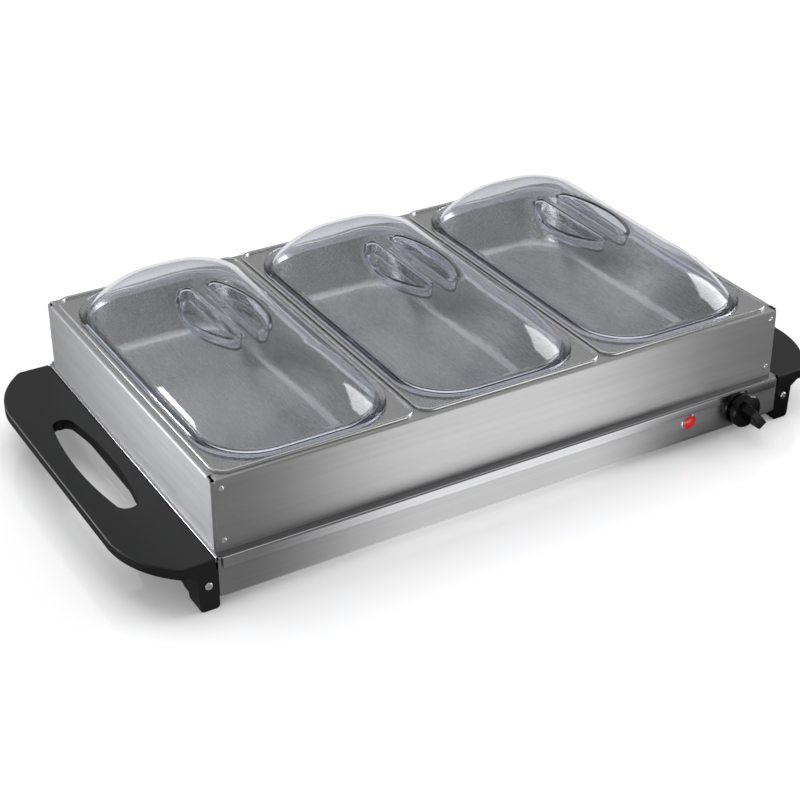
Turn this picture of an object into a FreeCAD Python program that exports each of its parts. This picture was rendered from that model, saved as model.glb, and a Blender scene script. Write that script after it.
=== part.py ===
import FreeCAD, Part
import math
import os
from FreeCAD import Vector

# Electric warming tray: a heated base, a lift-off frame, three pans and three clear lids.
# X runs along the tray, Y from front to back and Z up, in millimetres.

# Sizes that set the whole tray: three pans side by side make the frame
pan_width = 173.5
pan_length = 325.0
pan_depth = 54.0
pan_gap = 2.0
pan_clearance = 6.0
frame_end_margin = 5.25
frame_side_margin = 3.5
plate_top = 45.0
base_bottom = 9.0
handle_reach = 61.2

# Sheet metal
frame_sheet = 1.0
base_sheet = 0.8
plate_sheet = 1.0
pan_sheet = 0.8
bend = 1.2

# Heated base
base_over_frame_x = 1.3
base_over_frame_y = 6.5
base_flange = 14.0
lip_overhang = 2.5
lip_drop = 9.0
side_lip_overhang = 1.2
side_lip_drop = 5.0
lip_notch = 4.5
plateau_rise = 3.0
plateau_margin = 5.5
corner_fit = 0.2

# Lift-off frame
frame_flange_x = 10.5
frame_flange_y = 9.0
frame_return = 14.0
frame_corner = 4.0
panel_edge_gap = 1.9
rivet_inset = 7.5
rivet_low = 9.0
rivet_from_top = 8.0
rivet_radius = 1.6
divider_width = 13.0
divider_drop = 10.0

# Pans
pan_shelf = 11.3
pan_corner = 13.0
pan_opening_corner = 45.0
pan_draft = 6.0
bead_width = 3.2
bead_height = 2.2

# Lids
lid_wall = 2.4
lid_rim_inset = 5.3
lid_rim_height = 2.5
lid_rim_corner = 50.0
lid_riser = 5.2
dome_inset = 0.8
dome_rise = 38.0
dome_power = 3.1
dome_end_ratio = 1.12
dome_corner = 46.0
lid_skirt_drop = 5.5
lid_skirt_fit = 1.3
grip_half = 8.0
well_reach = 31.0
well_half_length = 58.0
well_corner = 5.0
well_depth = 12.0
well_draft = 2.0
gate_radius = 1.6

# Handles
handle_thick = 9.0
handle_below_plate = 1.0
handle_corner = 87.0
handle_straight = 105.0
slab_corner = 7.0
slab_gap = 2.0
handle_wall = 3.0
loop_half_length = 76.0
loop_half_width = 15.0
loop_end_radius = 9.0
loop_from_edge = 33.0
leg_width = 17.5
leg_depth = 20.0
leg_taper = 1.5
leg_flare = 8.0
leg_flare_low = 30.0
gusset_depth = 32.0
gusset_width = 11.0
gusset_low = 5.0
gusset_skin = 2.5
foot_pad_length = 17.0
foot_pad_round = 3.0
side_screw_rows = (-110.0, 110.0)
side_screw_up = 24.0
side_boss = 3.6
ear_length = 13.5
ear_low = 14.0
ear_high = 34.0
leg_screw_out = 9.0
leg_screw_up = 23.0
screw_radius = 1.7
hole_fit = 0.15

# Controls
control_height = 27.5
knob_out = 227.0
knob_radius = 15.0
knob_gap = 3.5
knob_face = 13.0
knob_front = 28.0
pointer_angle = -54.0
bezel_radius = 16.0
bezel_thick = 2.9
bezel_floor = 1.6
bezel_mouth = 7.0
bezel_peg = 0.9
bezel_peg_out = 10.5
bezel_peg_down = 11.3
bezel_peg_length = 1.8
bracket_screw_out = 8.5
lamp_out = 173.0
lamp_radius = 6.4
lens_sphere = 12.0
lens_rise = 2.8
ring_radius = 7.6
ring_height = 1.1
bush_radius = 5.0
bush_tip = 2.5
shaft_radius = 3.0
shaft_tip = 11.5
shaft_tail = -16.0
running_fit = 0.08
gland_out = 200.0
gland_bore = 3.5
gland_neck = 6.5
gland_height = 24.0
gland_flange = 4.0

# Heating
spreader_sheet = 1.5
tube_radius = 3.3
tube_pitch = 73.0
tube_near = 150.0
tube_far = 170.0
seat_gap = 0.1
strap_sheet = 1.0
strap_width = 12.0
stud_radius = 2.0
pad_height = 8.0

# Sizes that follow
pan_pitch = pan_width + pan_gap
frame_width = 3 * pan_width + 2 * pan_gap + 2 * frame_end_margin
frame_depth = pan_length + 2 * frame_side_margin
frame_top = plate_top + plateau_rise + pan_clearance + pan_depth
base_half_x = frame_width / 2 + base_over_frame_x
base_half_y = frame_depth / 2 + base_over_frame_y
frame_half_x = frame_width / 2
frame_half_y = frame_depth / 2
plate_half_x = base_half_x + side_lip_overhang
plate_half_y = base_half_y + lip_overhang
plate_under = plate_top - plate_sheet
plateau_under = plate_under + plateau_rise
stud_foot = plateau_under - 7.5
flange_line = base_half_y - base_flange / 2
pan_half_x = pan_width / 2
pan_half_y = pan_length / 2
open_half_x = pan_half_x - pan_shelf
open_half_y = pan_half_y - pan_shelf
shelf_top = frame_top + pan_sheet
lid_rim_top = shelf_top + lid_rim_height
dome_foot = shelf_top + lid_riser
dome_top = dome_foot + dome_rise
handle_out = base_half_x + handle_reach
handle_top = plate_top - handle_below_plate
handle_under = handle_top - handle_thick
bay_centres = (-pan_pitch, 0.0, pan_pitch)
bay_names = ("left", "middle", "right")
# The origin is the middle of the overall box: the knob stands out further than the gland does.
middle_shift = (knob_front - gland_flange) / 2


def box(x0, x1, y0, y1, z0, z1):
    return Part.makeBox(x1 - x0, y1 - y0, z1 - z0, Vector(x0, y0, z0))


def cylinder(radius, start, end):
    return Part.makeCylinder(radius, (end - start).Length, start, end - start)


def joined(shapes):
    whole = shapes[0].fuse(shapes[1:]) if len(shapes) > 1 else shapes[0]
    return whole.removeSplitter()


def rounded_outline(half_x, half_y, radius, z, centre_x=0.0):
    """Rectangle with four round corners, as lines and arcs."""
    edges = []
    last = None
    first = None
    for side_x, side_y, start in ((1, 1, 0), (-1, 1, 90), (-1, -1, 180), (1, -1, 270)):
        middle = Vector(centre_x + side_x * (half_x - radius), side_y * (half_y - radius), z)
        turn = [math.radians(start + step) for step in (0, 45, 90)]
        points = [middle + Vector(radius * math.cos(a), radius * math.sin(a), 0) for a in turn]
        if last is not None:
            edges.append(Part.makeLine(last, points[0]))
        else:
            first = points[0]
        edges.append(Part.Arc(*points).toShape())
        last = points[2]
    edges.append(Part.makeLine(last, first))
    return Part.Wire(edges)


def rounded_block(half_x, half_y, radius, z0, z1, centre_x=0.0):
    outline = rounded_outline(half_x, half_y, radius, z0, centre_x)
    return Part.Face(outline).extrude(Vector(0, 0, z1 - z0))


def bent_edges(corners, radii, to_space):
    """Lines through the corners, with an arc of the given radius at each inner corner."""
    edges = []
    last = corners[0]
    for index in range(1, len(corners) - 1):
        here = corners[index]
        into = (here - corners[index - 1]).normalize()
        out = (corners[index + 1] - here).normalize()
        turn = math.atan2(into.x * out.y - into.y * out.x, into.dot(out))
        radius = radii[index - 1]
        run = radius * math.tan(abs(turn) / 2)
        side = Vector(-into.y, into.x, 0) * math.copysign(radius, turn)
        start = here - into * run
        end = here + out * run
        middle = start + side
        crown = middle + (here - middle).normalize() * radius
        edges.append(Part.makeLine(to_space(last), to_space(start)))
        edges.append(Part.Arc(to_space(start), to_space(crown), to_space(end)).toShape())
        last = end
    edges.append(Part.makeLine(to_space(last), to_space(corners[-1])))
    return edges


def bent_sheet(corners, sheet, to_space, along, inner=bend):
    """Sheet whose outer face runs through the corners, thickness to the left, extruded."""
    points = [Vector(u, v, 0) for u, v in corners]
    normals = []
    for start, end in zip(points, points[1:]):
        run = (end - start).normalize()
        normals.append(Vector(-run.y, run.x, 0))
    backs = [points[0] + normals[0] * sheet]
    outer_radii = []
    inner_radii = []
    for index in range(1, len(points) - 1):
        before = normals[index - 1]
        after = normals[index]
        backs.append(points[index] + (before + after) * (sheet / (1 + before.dot(after))))
        left_turn = before.x * after.y - before.y * after.x > 0
        outer_radii.append(inner + sheet if left_turn else inner)
        inner_radii.append(inner if left_turn else inner + sheet)
    backs.append(points[-1] + normals[-1] * sheet)
    front = bent_edges(points, outer_radii, to_space)
    back = bent_edges(backs, inner_radii, to_space)
    ends = [Part.makeLine(to_space(points[k]), to_space(backs[k])) for k in (0, -1)]
    outline = Part.Wire(Part.__sortEdges__(front + back + ends))
    return Part.Face(outline).extrude(along)


def mirrored_y(shape):
    return shape.mirror(Vector(0, 0, 0), Vector(0, 1, 0))


def mirrored_x(shape):
    return shape.mirror(Vector(0, 0, 0), Vector(1, 0, 0))


def revolved(profile, start, axis_turn):
    """Closed (radius, height) profile turned about its own axis, which then points along -Y."""
    points = [Vector(r, 0, h) for r, h in profile]
    face = Part.Face(Part.makePolygon(points + points[:1]))
    solid = face.revolve(Vector(0, 0, 0), Vector(0, 0, 1), 360)
    solid.rotate(Vector(0, 0, 0), Vector(1, 0, 0), axis_turn)
    solid.translate(start)
    return solid


def warming_plate():
    """Top sheet with a raised warming area and a lip turned down on each side."""
    outer = box(-plate_half_x, plate_half_x, -plate_half_y, plate_half_y, plate_top - lip_drop, plate_top)
    outer = outer.makeFillet(bend + plate_sheet, upper_edges(outer, plate_top))
    inner = box(-plate_half_x + plate_sheet, plate_half_x - plate_sheet,
                -plate_half_y + plate_sheet, plate_half_y - plate_sheet, 0, plate_under)
    inner = inner.makeFillet(bend, upper_edges(inner, plate_under))
    sheet = outer.cut(inner)
    notch_x = plate_half_x - lip_notch
    notch_y = plate_half_y - lip_notch
    for sx in (-1, 1):
        for sy in (-1, 1):
            sheet = sheet.cut(Part.makeBox(20, 20, 60, Vector(sx * (notch_x + 10) - 10,
                                                              sy * (notch_y + 10) - 10, 0)))
        edge = sx * (plate_half_x + 1)
        trim = box(min(edge, edge - sx * 6), max(edge, edge - sx * 6), -notch_y, notch_y,
                   0, plate_top - side_lip_drop)
        sheet = sheet.cut(trim)
    rise_x = frame_half_x - plateau_margin
    rise_y = frame_half_y - plateau_margin
    raised = plateau(rise_x, rise_y, plate_top, plate_top + plateau_rise)
    hollow = plateau(rise_x - plate_sheet, rise_y - plate_sheet, plate_under, plateau_under)
    sheet = joined([sheet, raised]).cut(hollow)
    for x, y in stud_places():
        stud = cylinder(stud_radius, Vector(x, y, plateau_under + 0.3), Vector(x, y, stud_foot))
        sheet = sheet.fuse(stud)
    return sheet


def upper_edges(solid, z):
    return [e for e in solid.Edges if all(abs(v.Z - z) < 1e-6 for v in e.Vertexes)]


def plateau(half_x, half_y, low, high):
    slope = high - low
    foot = rounded_outline(half_x, half_y, 16, low)
    crest = rounded_outline(half_x - slope, half_y - slope, 16 - slope, high)
    return Part.makeLoft([foot, crest], True, True)


def base_long_panel():
    """Front or rear wall of the base with an inward flange above and below."""
    inner_x = base_half_x - base_sheet - corner_fit
    section = [(-base_half_y + base_flange, plate_under), (-base_half_y, plate_under),
               (-base_half_y, base_bottom), (-base_half_y + base_flange, base_bottom)]
    folded = bent_sheet(section, base_sheet, lambda p: Vector(-inner_x, p.x, p.y),
                        Vector(2 * inner_x, 0, 0))
    edge = bend + base_sheet
    web = box(-base_half_x, base_half_x, -base_half_y, -base_half_y + base_sheet,
              base_bottom + edge, plate_under - edge)
    panel = joined([folded, web])
    for x, y in cover_screw_places():
        if y < 0 and abs(abs(y) - flange_line) < 0.01:
            panel = panel.cut(cylinder(screw_radius, Vector(x, y, 0), Vector(x, y, 20)))
    return panel


def through_panel(radius, x, z, side=-1):
    return cylinder(radius, Vector(x, side * (base_half_y + 5), z), Vector(x, side * (base_half_y - 5), z))


def base_front_panel():
    panel = base_long_panel()
    panel = panel.cut(through_panel(lamp_radius - 0.2, lamp_out, control_height))
    panel = panel.cut(through_panel(bush_radius + hole_fit, knob_out, control_height))
    for side in (-1, 1):
        screw_x = knob_out + side * bracket_screw_out
        panel = panel.cut(through_panel(screw_radius + hole_fit, screw_x, control_height))
        peg_x = knob_out + side * bezel_peg_out
        panel = panel.cut(through_panel(bezel_peg + hole_fit, peg_x, control_height - bezel_peg_down))
    return panel


def base_rear_panel():
    panel = mirrored_y(base_long_panel())
    return panel.cut(through_panel(gland_neck + hole_fit, gland_out, gland_height, 1))


def base_side_panel():
    """Right end wall of the base, with flanges and two ears that reach into the handle's legs."""
    reach_y = base_half_y - base_flange - 0.5
    section = [(base_half_x - base_flange, plate_under), (base_half_x, plate_under),
               (base_half_x, base_bottom), (base_half_x - base_flange, base_bottom)]
    section.reverse()
    folded = bent_sheet(section, base_sheet, lambda p: Vector(p.x, -reach_y, p.y),
                        Vector(0, 2 * reach_y, 0))
    edge = bend + base_sheet
    web_y = base_half_y - base_sheet
    web = box(base_half_x - base_sheet, base_half_x, -web_y, web_y, base_bottom + edge, plate_under - edge)
    ear_y = base_half_y - handle_wall
    pieces = [folded, web]
    for side in (-1, 1):
        near = side * ear_y
        far = side * (ear_y - base_sheet)
        pieces.append(box(base_half_x - base_sheet, base_half_x + ear_length, min(near, far), max(near, far),
                          ear_low, ear_high))
    panel = joined(pieces)
    for side in (-1, 1):
        panel = panel.cut(leg_screw_hole(side))
        for y in side_screw_rows:
            panel = panel.cut(cylinder(screw_radius + hole_fit, Vector(base_half_x - 5, y, side_screw_up),
                                       Vector(base_half_x + 1, y, side_screw_up)))
        for x, y in cover_screw_places():
            if abs(x) > base_half_x - base_flange and x > 0:
                panel = panel.cut(cylinder(screw_radius, Vector(x, y, 0), Vector(x, y, 20)))
    return panel


def leg_screw_hole(side):
    x = base_half_x + leg_screw_out
    return cylinder(screw_radius + hole_fit, Vector(x, side * (base_half_y + 5), leg_screw_up),
                    Vector(x, side * (base_half_y - 12), leg_screw_up))


def cover_screw_places():
    long_rows = [(x, side * flange_line) for side in (-1, 1) for x in (-200.0, 0.0, 140.0)]
    end_rows = [(side * (base_half_x - base_flange / 2), 0.0) for side in (-1, 1)]
    return long_rows + end_rows


def strap_places():
    return (-120.0, 90.0)


def tube_rows():
    return [tube_pitch * (k - 1.5) for k in range(4)]


def stud_places():
    between = [tube_pitch * k for k in (-1, 0, 1)]
    return [(x, y) for x in strap_places() for y in between]


def bottom_cover():
    """Flat cover with two groups of vent slots, screwed up into the base's flanges."""
    inset = 1.5
    low = base_bottom - base_sheet
    cover = rounded_block(base_half_x - inset, base_half_y - inset, 4, low, base_bottom)
    for side in (-1, 1):
        for k in range(7):
            x = side * 150 + (k - 3) * 9
            slot = rounded_block(2, 26, 1.99, low - 1, base_bottom + 1, x)
            cover = cover.cut(slot)
    for x, y in cover_screw_places():
        cover = cover.cut(cylinder(screw_radius, Vector(x, y, 0), Vector(x, y, 20)))
    for x in terminal_screw_places():
        cover = cover.cut(cylinder(screw_radius, Vector(x, terminal_y, 0), Vector(x, terminal_y, 20)))
    return cover


def pan_head_screw(tip_length, shank, seat, direction):
    """Pan head with a cross recess; the head's underside lies on the seat."""
    head_radius = 3.3
    head_height = 2.1
    head = Part.makeCylinder(head_radius, head_height, Vector(0, 0, 0))
    rim = [e for e in head.Edges if abs(e.BoundBox.ZMin - head_height) < 1e-6 and e.Closed]
    head = head.makeFillet(0.9, rim[:1])
    stem = Part.makeCylinder(shank, tip_length, Vector(0, 0, -tip_length))
    screw = joined([head, stem])
    for turn in (0, 90):
        slot = box(-1.7, 1.7, -0.35, 0.35, head_height - 1.1, head_height + 1)
        slot.rotate(Vector(0, 0, 0), Vector(0, 0, 1), turn + 45)
        screw = screw.cut(slot)
    screw.Placement = FreeCAD.Placement(seat, FreeCAD.Rotation(Vector(0, 0, 1), direction))
    return screw


def bottom_cover_screws():
    low = base_bottom - base_sheet
    return [pan_head_screw(6, screw_radius - 0.1, Vector(x, y, low), Vector(0, 0, -1))
            for x, y in cover_screw_places()]


def handle_screws():
    screws = []
    for side_x in (-1, 1):
        for side_y in (-1, 1):
            seat = Vector(side_x * (base_half_x + leg_screw_out), side_y * base_half_y, leg_screw_up)
            screws.append(pan_head_screw(9, screw_radius, seat, Vector(0, side_y, 0)))
    return screws


def handle_side_screws():
    screws = []
    for side_x in (-1, 1):
        for y in side_screw_rows:
            seat = Vector(side_x * (base_half_x - base_sheet), y, side_screw_up)
            screws.append(pan_head_screw(9, screw_radius, seat, Vector(-side_x, 0, 0)))
    return screws


def handle_outline(inset, z):
    """Plan of the grip slab: straight front and rear edges, then a large arc to the outer side."""
    near = base_half_x + slab_gap + inset
    far = handle_out - inset
    end = base_half_y - inset
    radius = handle_corner - inset
    middle_x = far - radius
    rise = end - handle_straight
    corner_x = middle_x + math.sqrt(radius * radius - rise * rise)
    turn = math.asin(rise / radius) / 2
    crown_x = middle_x + radius * math.cos(turn)
    crown_y = handle_straight + radius * math.sin(turn)
    front = [Vector(near, -end, z), Vector(corner_x, -end, z)]
    rear = [Vector(corner_x, end, z), Vector(near, end, z)]
    sides = [Vector(far, -handle_straight, z), Vector(far, handle_straight, z)]
    edges = [Part.makeLine(*front),
             Part.Arc(front[1], Vector(crown_x, -crown_y, z), sides[0]).toShape(),
             Part.makeLine(*sides),
             Part.Arc(sides[1], Vector(crown_x, crown_y, z), rear[0]).toShape(),
             Part.makeLine(*rear),
             Part.makeLine(rear[1], front[0])]
    return Part.Wire(edges)


def slab_block(inset, z, height):
    """Prism on the slab's plan, with its two outer corners rounded."""
    block = prism(handle_outline(inset, z), height)
    corners = [e for e in block.Edges if e.BoundBox.ZLength > height - 1e-3
               and e.BoundBox.XMin > base_half_x + 10 and abs(e.BoundBox.YMin) > base_half_y - inset - 1]
    return block.makeFillet(slab_corner - inset, corners)


def loop_outline(grow, z):
    """Lens-shaped hand hole: two long side arcs joined by tangent end arcs."""
    middle = handle_out - loop_from_edge
    width = loop_half_width + grow
    length = loop_half_length + grow
    end = loop_end_radius + grow
    run = length - end
    side = (run * run + width * width - end * end) / (2 * (width - end))
    reach = side / (side - end)
    touch_x = (side - width) * reach - (side - width)
    touch_y = run * reach
    right = Part.Arc(Vector(middle + touch_x, -touch_y, z), Vector(middle + width, 0, z),
                     Vector(middle + touch_x, touch_y, z))
    rear = Part.Arc(Vector(middle + touch_x, touch_y, z), Vector(middle, length, z),
                    Vector(middle - touch_x, touch_y, z))
    left = Part.Arc(Vector(middle - touch_x, touch_y, z), Vector(middle - width, 0, z),
                    Vector(middle - touch_x, -touch_y, z))
    front = Part.Arc(Vector(middle - touch_x, -touch_y, z), Vector(middle, -length, z),
                     Vector(middle + touch_x, -touch_y, z))
    return Part.Wire([arc.toShape() for arc in (right, rear, left, front)])


def prism(wire, height):
    return Part.Face(wire).extrude(Vector(0, 0, height))


def handle_leg(side):
    """Hollow leg under the slab's end, open towards the base so that its ear can enter."""
    inner = base_half_x + 0.3
    outer = base_half_x + leg_width + 0.5
    front = base_half_y
    back = base_half_y - leg_depth
    foot = outer - leg_taper
    outline = [Vector(inner, 0, 0), Vector(foot, 0, 0), Vector(outer, 0, handle_under + 1),
               Vector(inner, 0, handle_under + 1)]
    face = Part.Face(Part.makePolygon(outline + outline[:1]))
    block = face.extrude(Vector(0, leg_depth, 0))
    corners = [e for e in block.Edges if abs(e.BoundBox.ZMax) < 1e-6 and e.BoundBox.YLength > 1]
    block = block.makeFillet(3.5, corners)
    flare = [Vector(foot, 0, leg_flare_low - 1), Vector(outer, 0, leg_flare_low),
             Vector(outer + leg_flare, 0, handle_under + 1), Vector(foot, 0, handle_under + 1)]
    wedge = Part.Face(Part.makePolygon(flare + flare[:1])).extrude(Vector(0, leg_depth, 0))
    wedge.translate(Vector(0, -front, 0))
    wedge = wedge.common(slab_block(0, 0, handle_top))
    block.translate(Vector(0, -front, 0))
    cavity = box(inner - 1, foot - handle_wall, -front + handle_wall, -back - handle_wall,
                 handle_wall, handle_under + 5)
    leg = block.fuse(wedge).cut(cavity)
    return leg if side < 0 else mirrored_y(leg)


def handle_gusset(side):
    """Web behind a leg that stiffens it against the slab, with a rounded foot pad below."""
    near = -(base_half_y - leg_depth) - 1
    far = near + gusset_depth
    low = gusset_low
    inner = base_half_x + 4
    steps = [(near, low), (far, low + 1), (far + 5, handle_under + 1), (near, handle_under + 1)]
    points = [Vector(inner, y, z) for y, z in steps]
    solid = Part.Face(Part.makePolygon(points + points[:1])).extrude(Vector(gusset_width, 0, 0))
    core = gusset_width - 2 * gusset_skin
    hollow = Part.Face(Part.makePolygon(points + points[:1])).extrude(Vector(core, 0, 0))
    hollow.translate(Vector(gusset_skin, -gusset_skin, gusset_skin + 1))
    pad_x = inner + gusset_width - 1
    pad = box(inner + 1, pad_x, near - 1, near + foot_pad_length, 0, low + 1)
    lower = [e for e in pad.Edges if abs(e.BoundBox.ZMax) < 1e-6 and e.BoundBox.YMax > near]
    pad = pad.makeFillet(foot_pad_round, lower)
    web = solid.cut(hollow).fuse(pad)
    return web if side < 0 else mirrored_y(web)


def handle():
    """Moulded right handle: hollow slab with a rim, a collared hand hole, ribs and two legs."""
    slab = slab_block(0, handle_under, handle_thick)
    rounded = [e for e in upper_edges(slab, handle_top) if e.BoundBox.XMax > base_half_x + 2.5]
    slab = slab.makeFillet(2.0, rounded)
    skin_under = handle_thick - handle_wall
    slab = slab.cut(slab_block(handle_wall, handle_under - 1, skin_under + 1))
    collar = prism(loop_outline(handle_wall, handle_under), skin_under + 1)
    wall_low = base_bottom + 3
    wall_end = base_half_y - leg_depth / 2
    near = base_half_x
    wall = box(near, near + handle_wall, -wall_end, wall_end, wall_low, handle_under + 2)
    pieces = [slab, collar, wall]
    for side in (-1, 1):
        for y in (96.0, 128.0):
            reach = handle_out - 4 if y < 100 else handle_out - 12
            pieces.append(box(near + 2.5, reach, side * y - 1, side * y + 1, handle_under + 2,
                              handle_top - 1))
        pieces.append(handle_leg(side))
        pieces.append(handle_gusset(side))
    for y in side_screw_rows:
        pieces.append(cylinder(side_boss, Vector(near + 1, y, side_screw_up),
                               Vector(near + 11, y, side_screw_up)))
    body = joined(pieces)
    mouth = prism(loop_outline(0, handle_under - 5), handle_thick + 10)
    body = body.cut(mouth)
    for y in side_screw_rows:
        body = body.cut(cylinder(screw_radius + 0.05, Vector(near - 1, y, side_screw_up),
                                 Vector(near + 9, y, side_screw_up)))
    for side in (-1, 1):
        body = body.cut(leg_screw_hole(side))
    return body


def frame_long_panel():
    """Front or rear wall of the frame, with a flange turned in under the pans' rims."""
    half = frame_half_x - panel_edge_gap
    section = [(-frame_half_y + frame_flange_y, frame_top), (-frame_half_y, frame_top),
               (-frame_half_y, plate_top)]
    panel = bent_sheet(section, frame_sheet, lambda p: Vector(-half, p.x, p.y), Vector(2 * half, 0, 0))
    envelope = box(-half, half, -frame_half_y - 1, 0, plate_top, frame_top)
    shoulders = [e for e in upper_edges(envelope, frame_top) if e.BoundBox.XLength < 1e-6]
    return panel.common(envelope.makeFillet(frame_corner, shoulders)).cut(frame_rivet_holes())


def rivet_places():
    x = frame_half_x - rivet_inset
    return [(side * x, z) for side in (-1, 1) for z in (plate_top + rivet_low, frame_top - rivet_from_top)]


def frame_rivet_holes():
    pins = [cylinder(rivet_radius, Vector(x, -frame_half_y - 5, z), Vector(x, -frame_half_y + 5, z))
            for x, z in rivet_places()]
    return pins[0].fuse(pins[1:])


def frame_side_panel():
    """Right wall of the frame: a return behind the front and rear panels and a flange on top."""
    skin = frame_half_y - frame_sheet
    section = [(frame_half_x - frame_return, -skin), (frame_half_x, -skin),
               (frame_half_x, skin), (frame_half_x - frame_return, skin)]
    wall_top = frame_top - frame_sheet - bend
    wall = bent_sheet(section, frame_sheet, lambda p: Vector(p.x, p.y, plate_top),
                      Vector(0, 0, wall_top - plate_top))
    reach = frame_half_y - frame_flange_y - corner_fit
    top = [(frame_half_x, frame_top - 8), (frame_half_x, frame_top),
           (frame_half_x - frame_flange_x, frame_top)]
    flange = bent_sheet(top, frame_sheet, lambda p: Vector(p.x, -reach, p.y), Vector(0, 2 * reach, 0))
    bent_zone = box(frame_half_x - frame_sheet, frame_half_x, -reach, reach, wall_top - bend, frame_top)
    horn_reach = skin - frame_sheet - bend
    horns = box(frame_half_x - frame_sheet, frame_half_x, -horn_reach, horn_reach, wall_top - 1,
                frame_top - 0.5)
    panel = joined([joined([wall, horns]).cut(bent_zone), flange])
    holes = frame_rivet_holes()
    panel = panel.cut(holes)
    return panel.cut(mirrored_y(holes))


def frame_divider(centre_x):
    """Inverted channel between two bays, with a lowered tab under each long panel's flange."""
    half = divider_width / 2
    reach = frame_half_y - frame_flange_y - corner_fit
    section = [(centre_x + half, frame_top - divider_drop), (centre_x + half, frame_top),
               (centre_x - half, frame_top), (centre_x - half, frame_top - divider_drop)]
    channel = bent_sheet(section, frame_sheet, lambda p: Vector(p.x, -reach, p.y),
                         Vector(0, 2 * reach, 0), 0.6)
    tab_half = half - frame_sheet - 0.8
    tabs = []
    for side in (-1, 1):
        start = side * (reach - 10)
        end = side * (frame_half_y - 2 * frame_sheet - 0.5)
        tabs.append(box(centre_x - tab_half, centre_x + tab_half, min(start, end), max(start, end),
                        frame_top - 2 * frame_sheet, frame_top - frame_sheet))
    return joined([channel] + tabs)


def frame_rivets():
    """Blind rivets: domed head outside, shank through both sheets, upset end inside."""
    rivets = []
    grip = 2 * frame_sheet
    for side in (-1, 1):
        for x, z in rivet_places():
            face = Vector(x, side * frame_half_y, z)
            inward = Vector(0, -side, 0)
            head = Part.makeSphere(3.0, face + inward * 1.9)
            keep = cylinder(4, face, face - inward * 3)
            head = head.common(keep)
            stem = cylinder(rivet_radius - 0.05, face, face + inward * grip)
            upset = cylinder(2.3, face + inward * grip, face + inward * (grip + 1.6))
            rivets.append(joined([head, stem, upset]))
    return rivets


def pan_body(grow, bottom):
    mouth = rounded_outline(open_half_x + grow, open_half_y + grow, pan_opening_corner + grow, shelf_top)
    floor = rounded_outline(open_half_x - pan_draft + grow, open_half_y - pan_draft + grow,
                            pan_opening_corner - pan_draft + grow, bottom)
    body = Part.makeLoft([floor, mouth], True, True)
    low = [e for e in body.Edges if all(abs(v.Z - bottom) < 1e-6 for v in e.Vertexes)]
    return body.makeFillet(9.0 + grow, low)


def pan():
    """Drawn steel pan: drafted well, flat shelf for the lid and a rolled bead round the rim."""
    floor_top = shelf_top - pan_depth
    flange = rounded_block(pan_half_x, pan_half_y, pan_corner, frame_top, shelf_top)
    bead = rounded_block(pan_half_x, pan_half_y, pan_corner, frame_top, shelf_top + bead_height)
    crest = upper_edges(bead, shelf_top + bead_height)
    bead = bead.makeFillet(1.4, crest)
    bead = bead.cut(rounded_block(pan_half_x - bead_width, pan_half_y - bead_width,
                                  pan_corner - bead_width, frame_top - 1, shelf_top + 10))
    well = pan_body(pan_sheet, floor_top - pan_sheet)
    body = joined([flange, bead, well])
    body = body.cut(pan_body(0.0, floor_top))
    lip = [e for e in body.Edges if all(abs(v.Z - shelf_top) < 1e-6 for v in e.Vertexes)
           and abs(e.BoundBox.XMax) < open_half_x + 0.5 and abs(e.BoundBox.YMax) < open_half_y + 0.5
           and e.BoundBox.XMin > -open_half_x - 0.5 and e.BoundBox.YMin > -open_half_y - 0.5]
    return body.makeFillet(0.7, lip)


def dome_section(share, wall):
    """One level of the lid's dome, set in by the wall along the surface's normal."""
    foot_x = open_half_x - dome_inset
    half_x = foot_x * share
    half_y = open_half_y - dome_inset - (foot_x - half_x) * dome_end_ratio
    height = dome_top - dome_rise * share ** dome_power
    radius = min(dome_corner * math.sqrt(share), 0.85 * half_x)
    fall = dome_rise * dome_power * share ** (dome_power - 1)
    steep = math.hypot(fall, foot_x)
    inward = wall * fall / steep
    down = wall * foot_x / steep
    return rounded_outline(half_x - inward, half_y - inward, radius - inward, height - down)


def dome(wall):
    shares = (1.0, 0.93, 0.84, 0.72, 0.57, 0.4, 0.22)
    upper = Part.makeLoft([dome_section(share, wall) for share in shares], True, False)
    foot = dome_section(1.0, wall)
    foot_z = foot.BoundBox.ZMin
    drop = foot_z - shelf_top if wall == 0 else foot_z - (shelf_top - 20)
    riser = Part.Face(foot).extrude(Vector(0, 0, -drop))
    return upper.fuse(riser)


def well_outline(side, edge, reach, length, corner, z):
    """D-shaped outline: straight beside the grip bar, one large arc outside, round corners."""
    sag = reach - edge
    radius = (length * length + sag * sag) / (2 * sag)
    centre = reach - radius
    offset = edge + corner - centre
    rise = math.sqrt((radius - corner) ** 2 - offset ** 2)
    share = radius / (radius - corner)
    outside = Vector(centre + offset * share, rise * share, 0)
    pull = Vector(offset, rise, 0).normalize() + Vector(-1, 0, 0)
    crown = Vector(centre + offset, rise, 0) + pull.normalize() * corner

    def at(u, v):
        return Vector(side * u, v, z)

    edges = [Part.makeLine(at(edge, -rise), at(edge, rise)),
             Part.Arc(at(edge, rise), at(crown.x, crown.y), at(outside.x, outside.y)).toShape(),
             Part.Arc(at(outside.x, outside.y), at(reach, 0), at(outside.x, -outside.y)).toShape(),
             Part.Arc(at(outside.x, -outside.y), at(crown.x, -crown.y), at(edge, -rise)).toShape()]
    return Part.Wire(Part.__sortEdges__(edges))


def well(side, grow, floor):
    """Finger well of the lid's grip, narrower at its floor than at its mouth."""
    top = dome_top + 2
    slope = well_draft * (top - floor) / well_depth
    mouth = well_outline(side, grip_half - grow, well_reach + grow, well_half_length + grow,
                         well_corner + grow, top)
    base = well_outline(side, grip_half - grow + slope * 0.4, well_reach + grow - slope,
                        well_half_length + grow - slope, well_corner + grow, floor)
    return Part.makeLoft([base, mouth], True, True)


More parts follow.
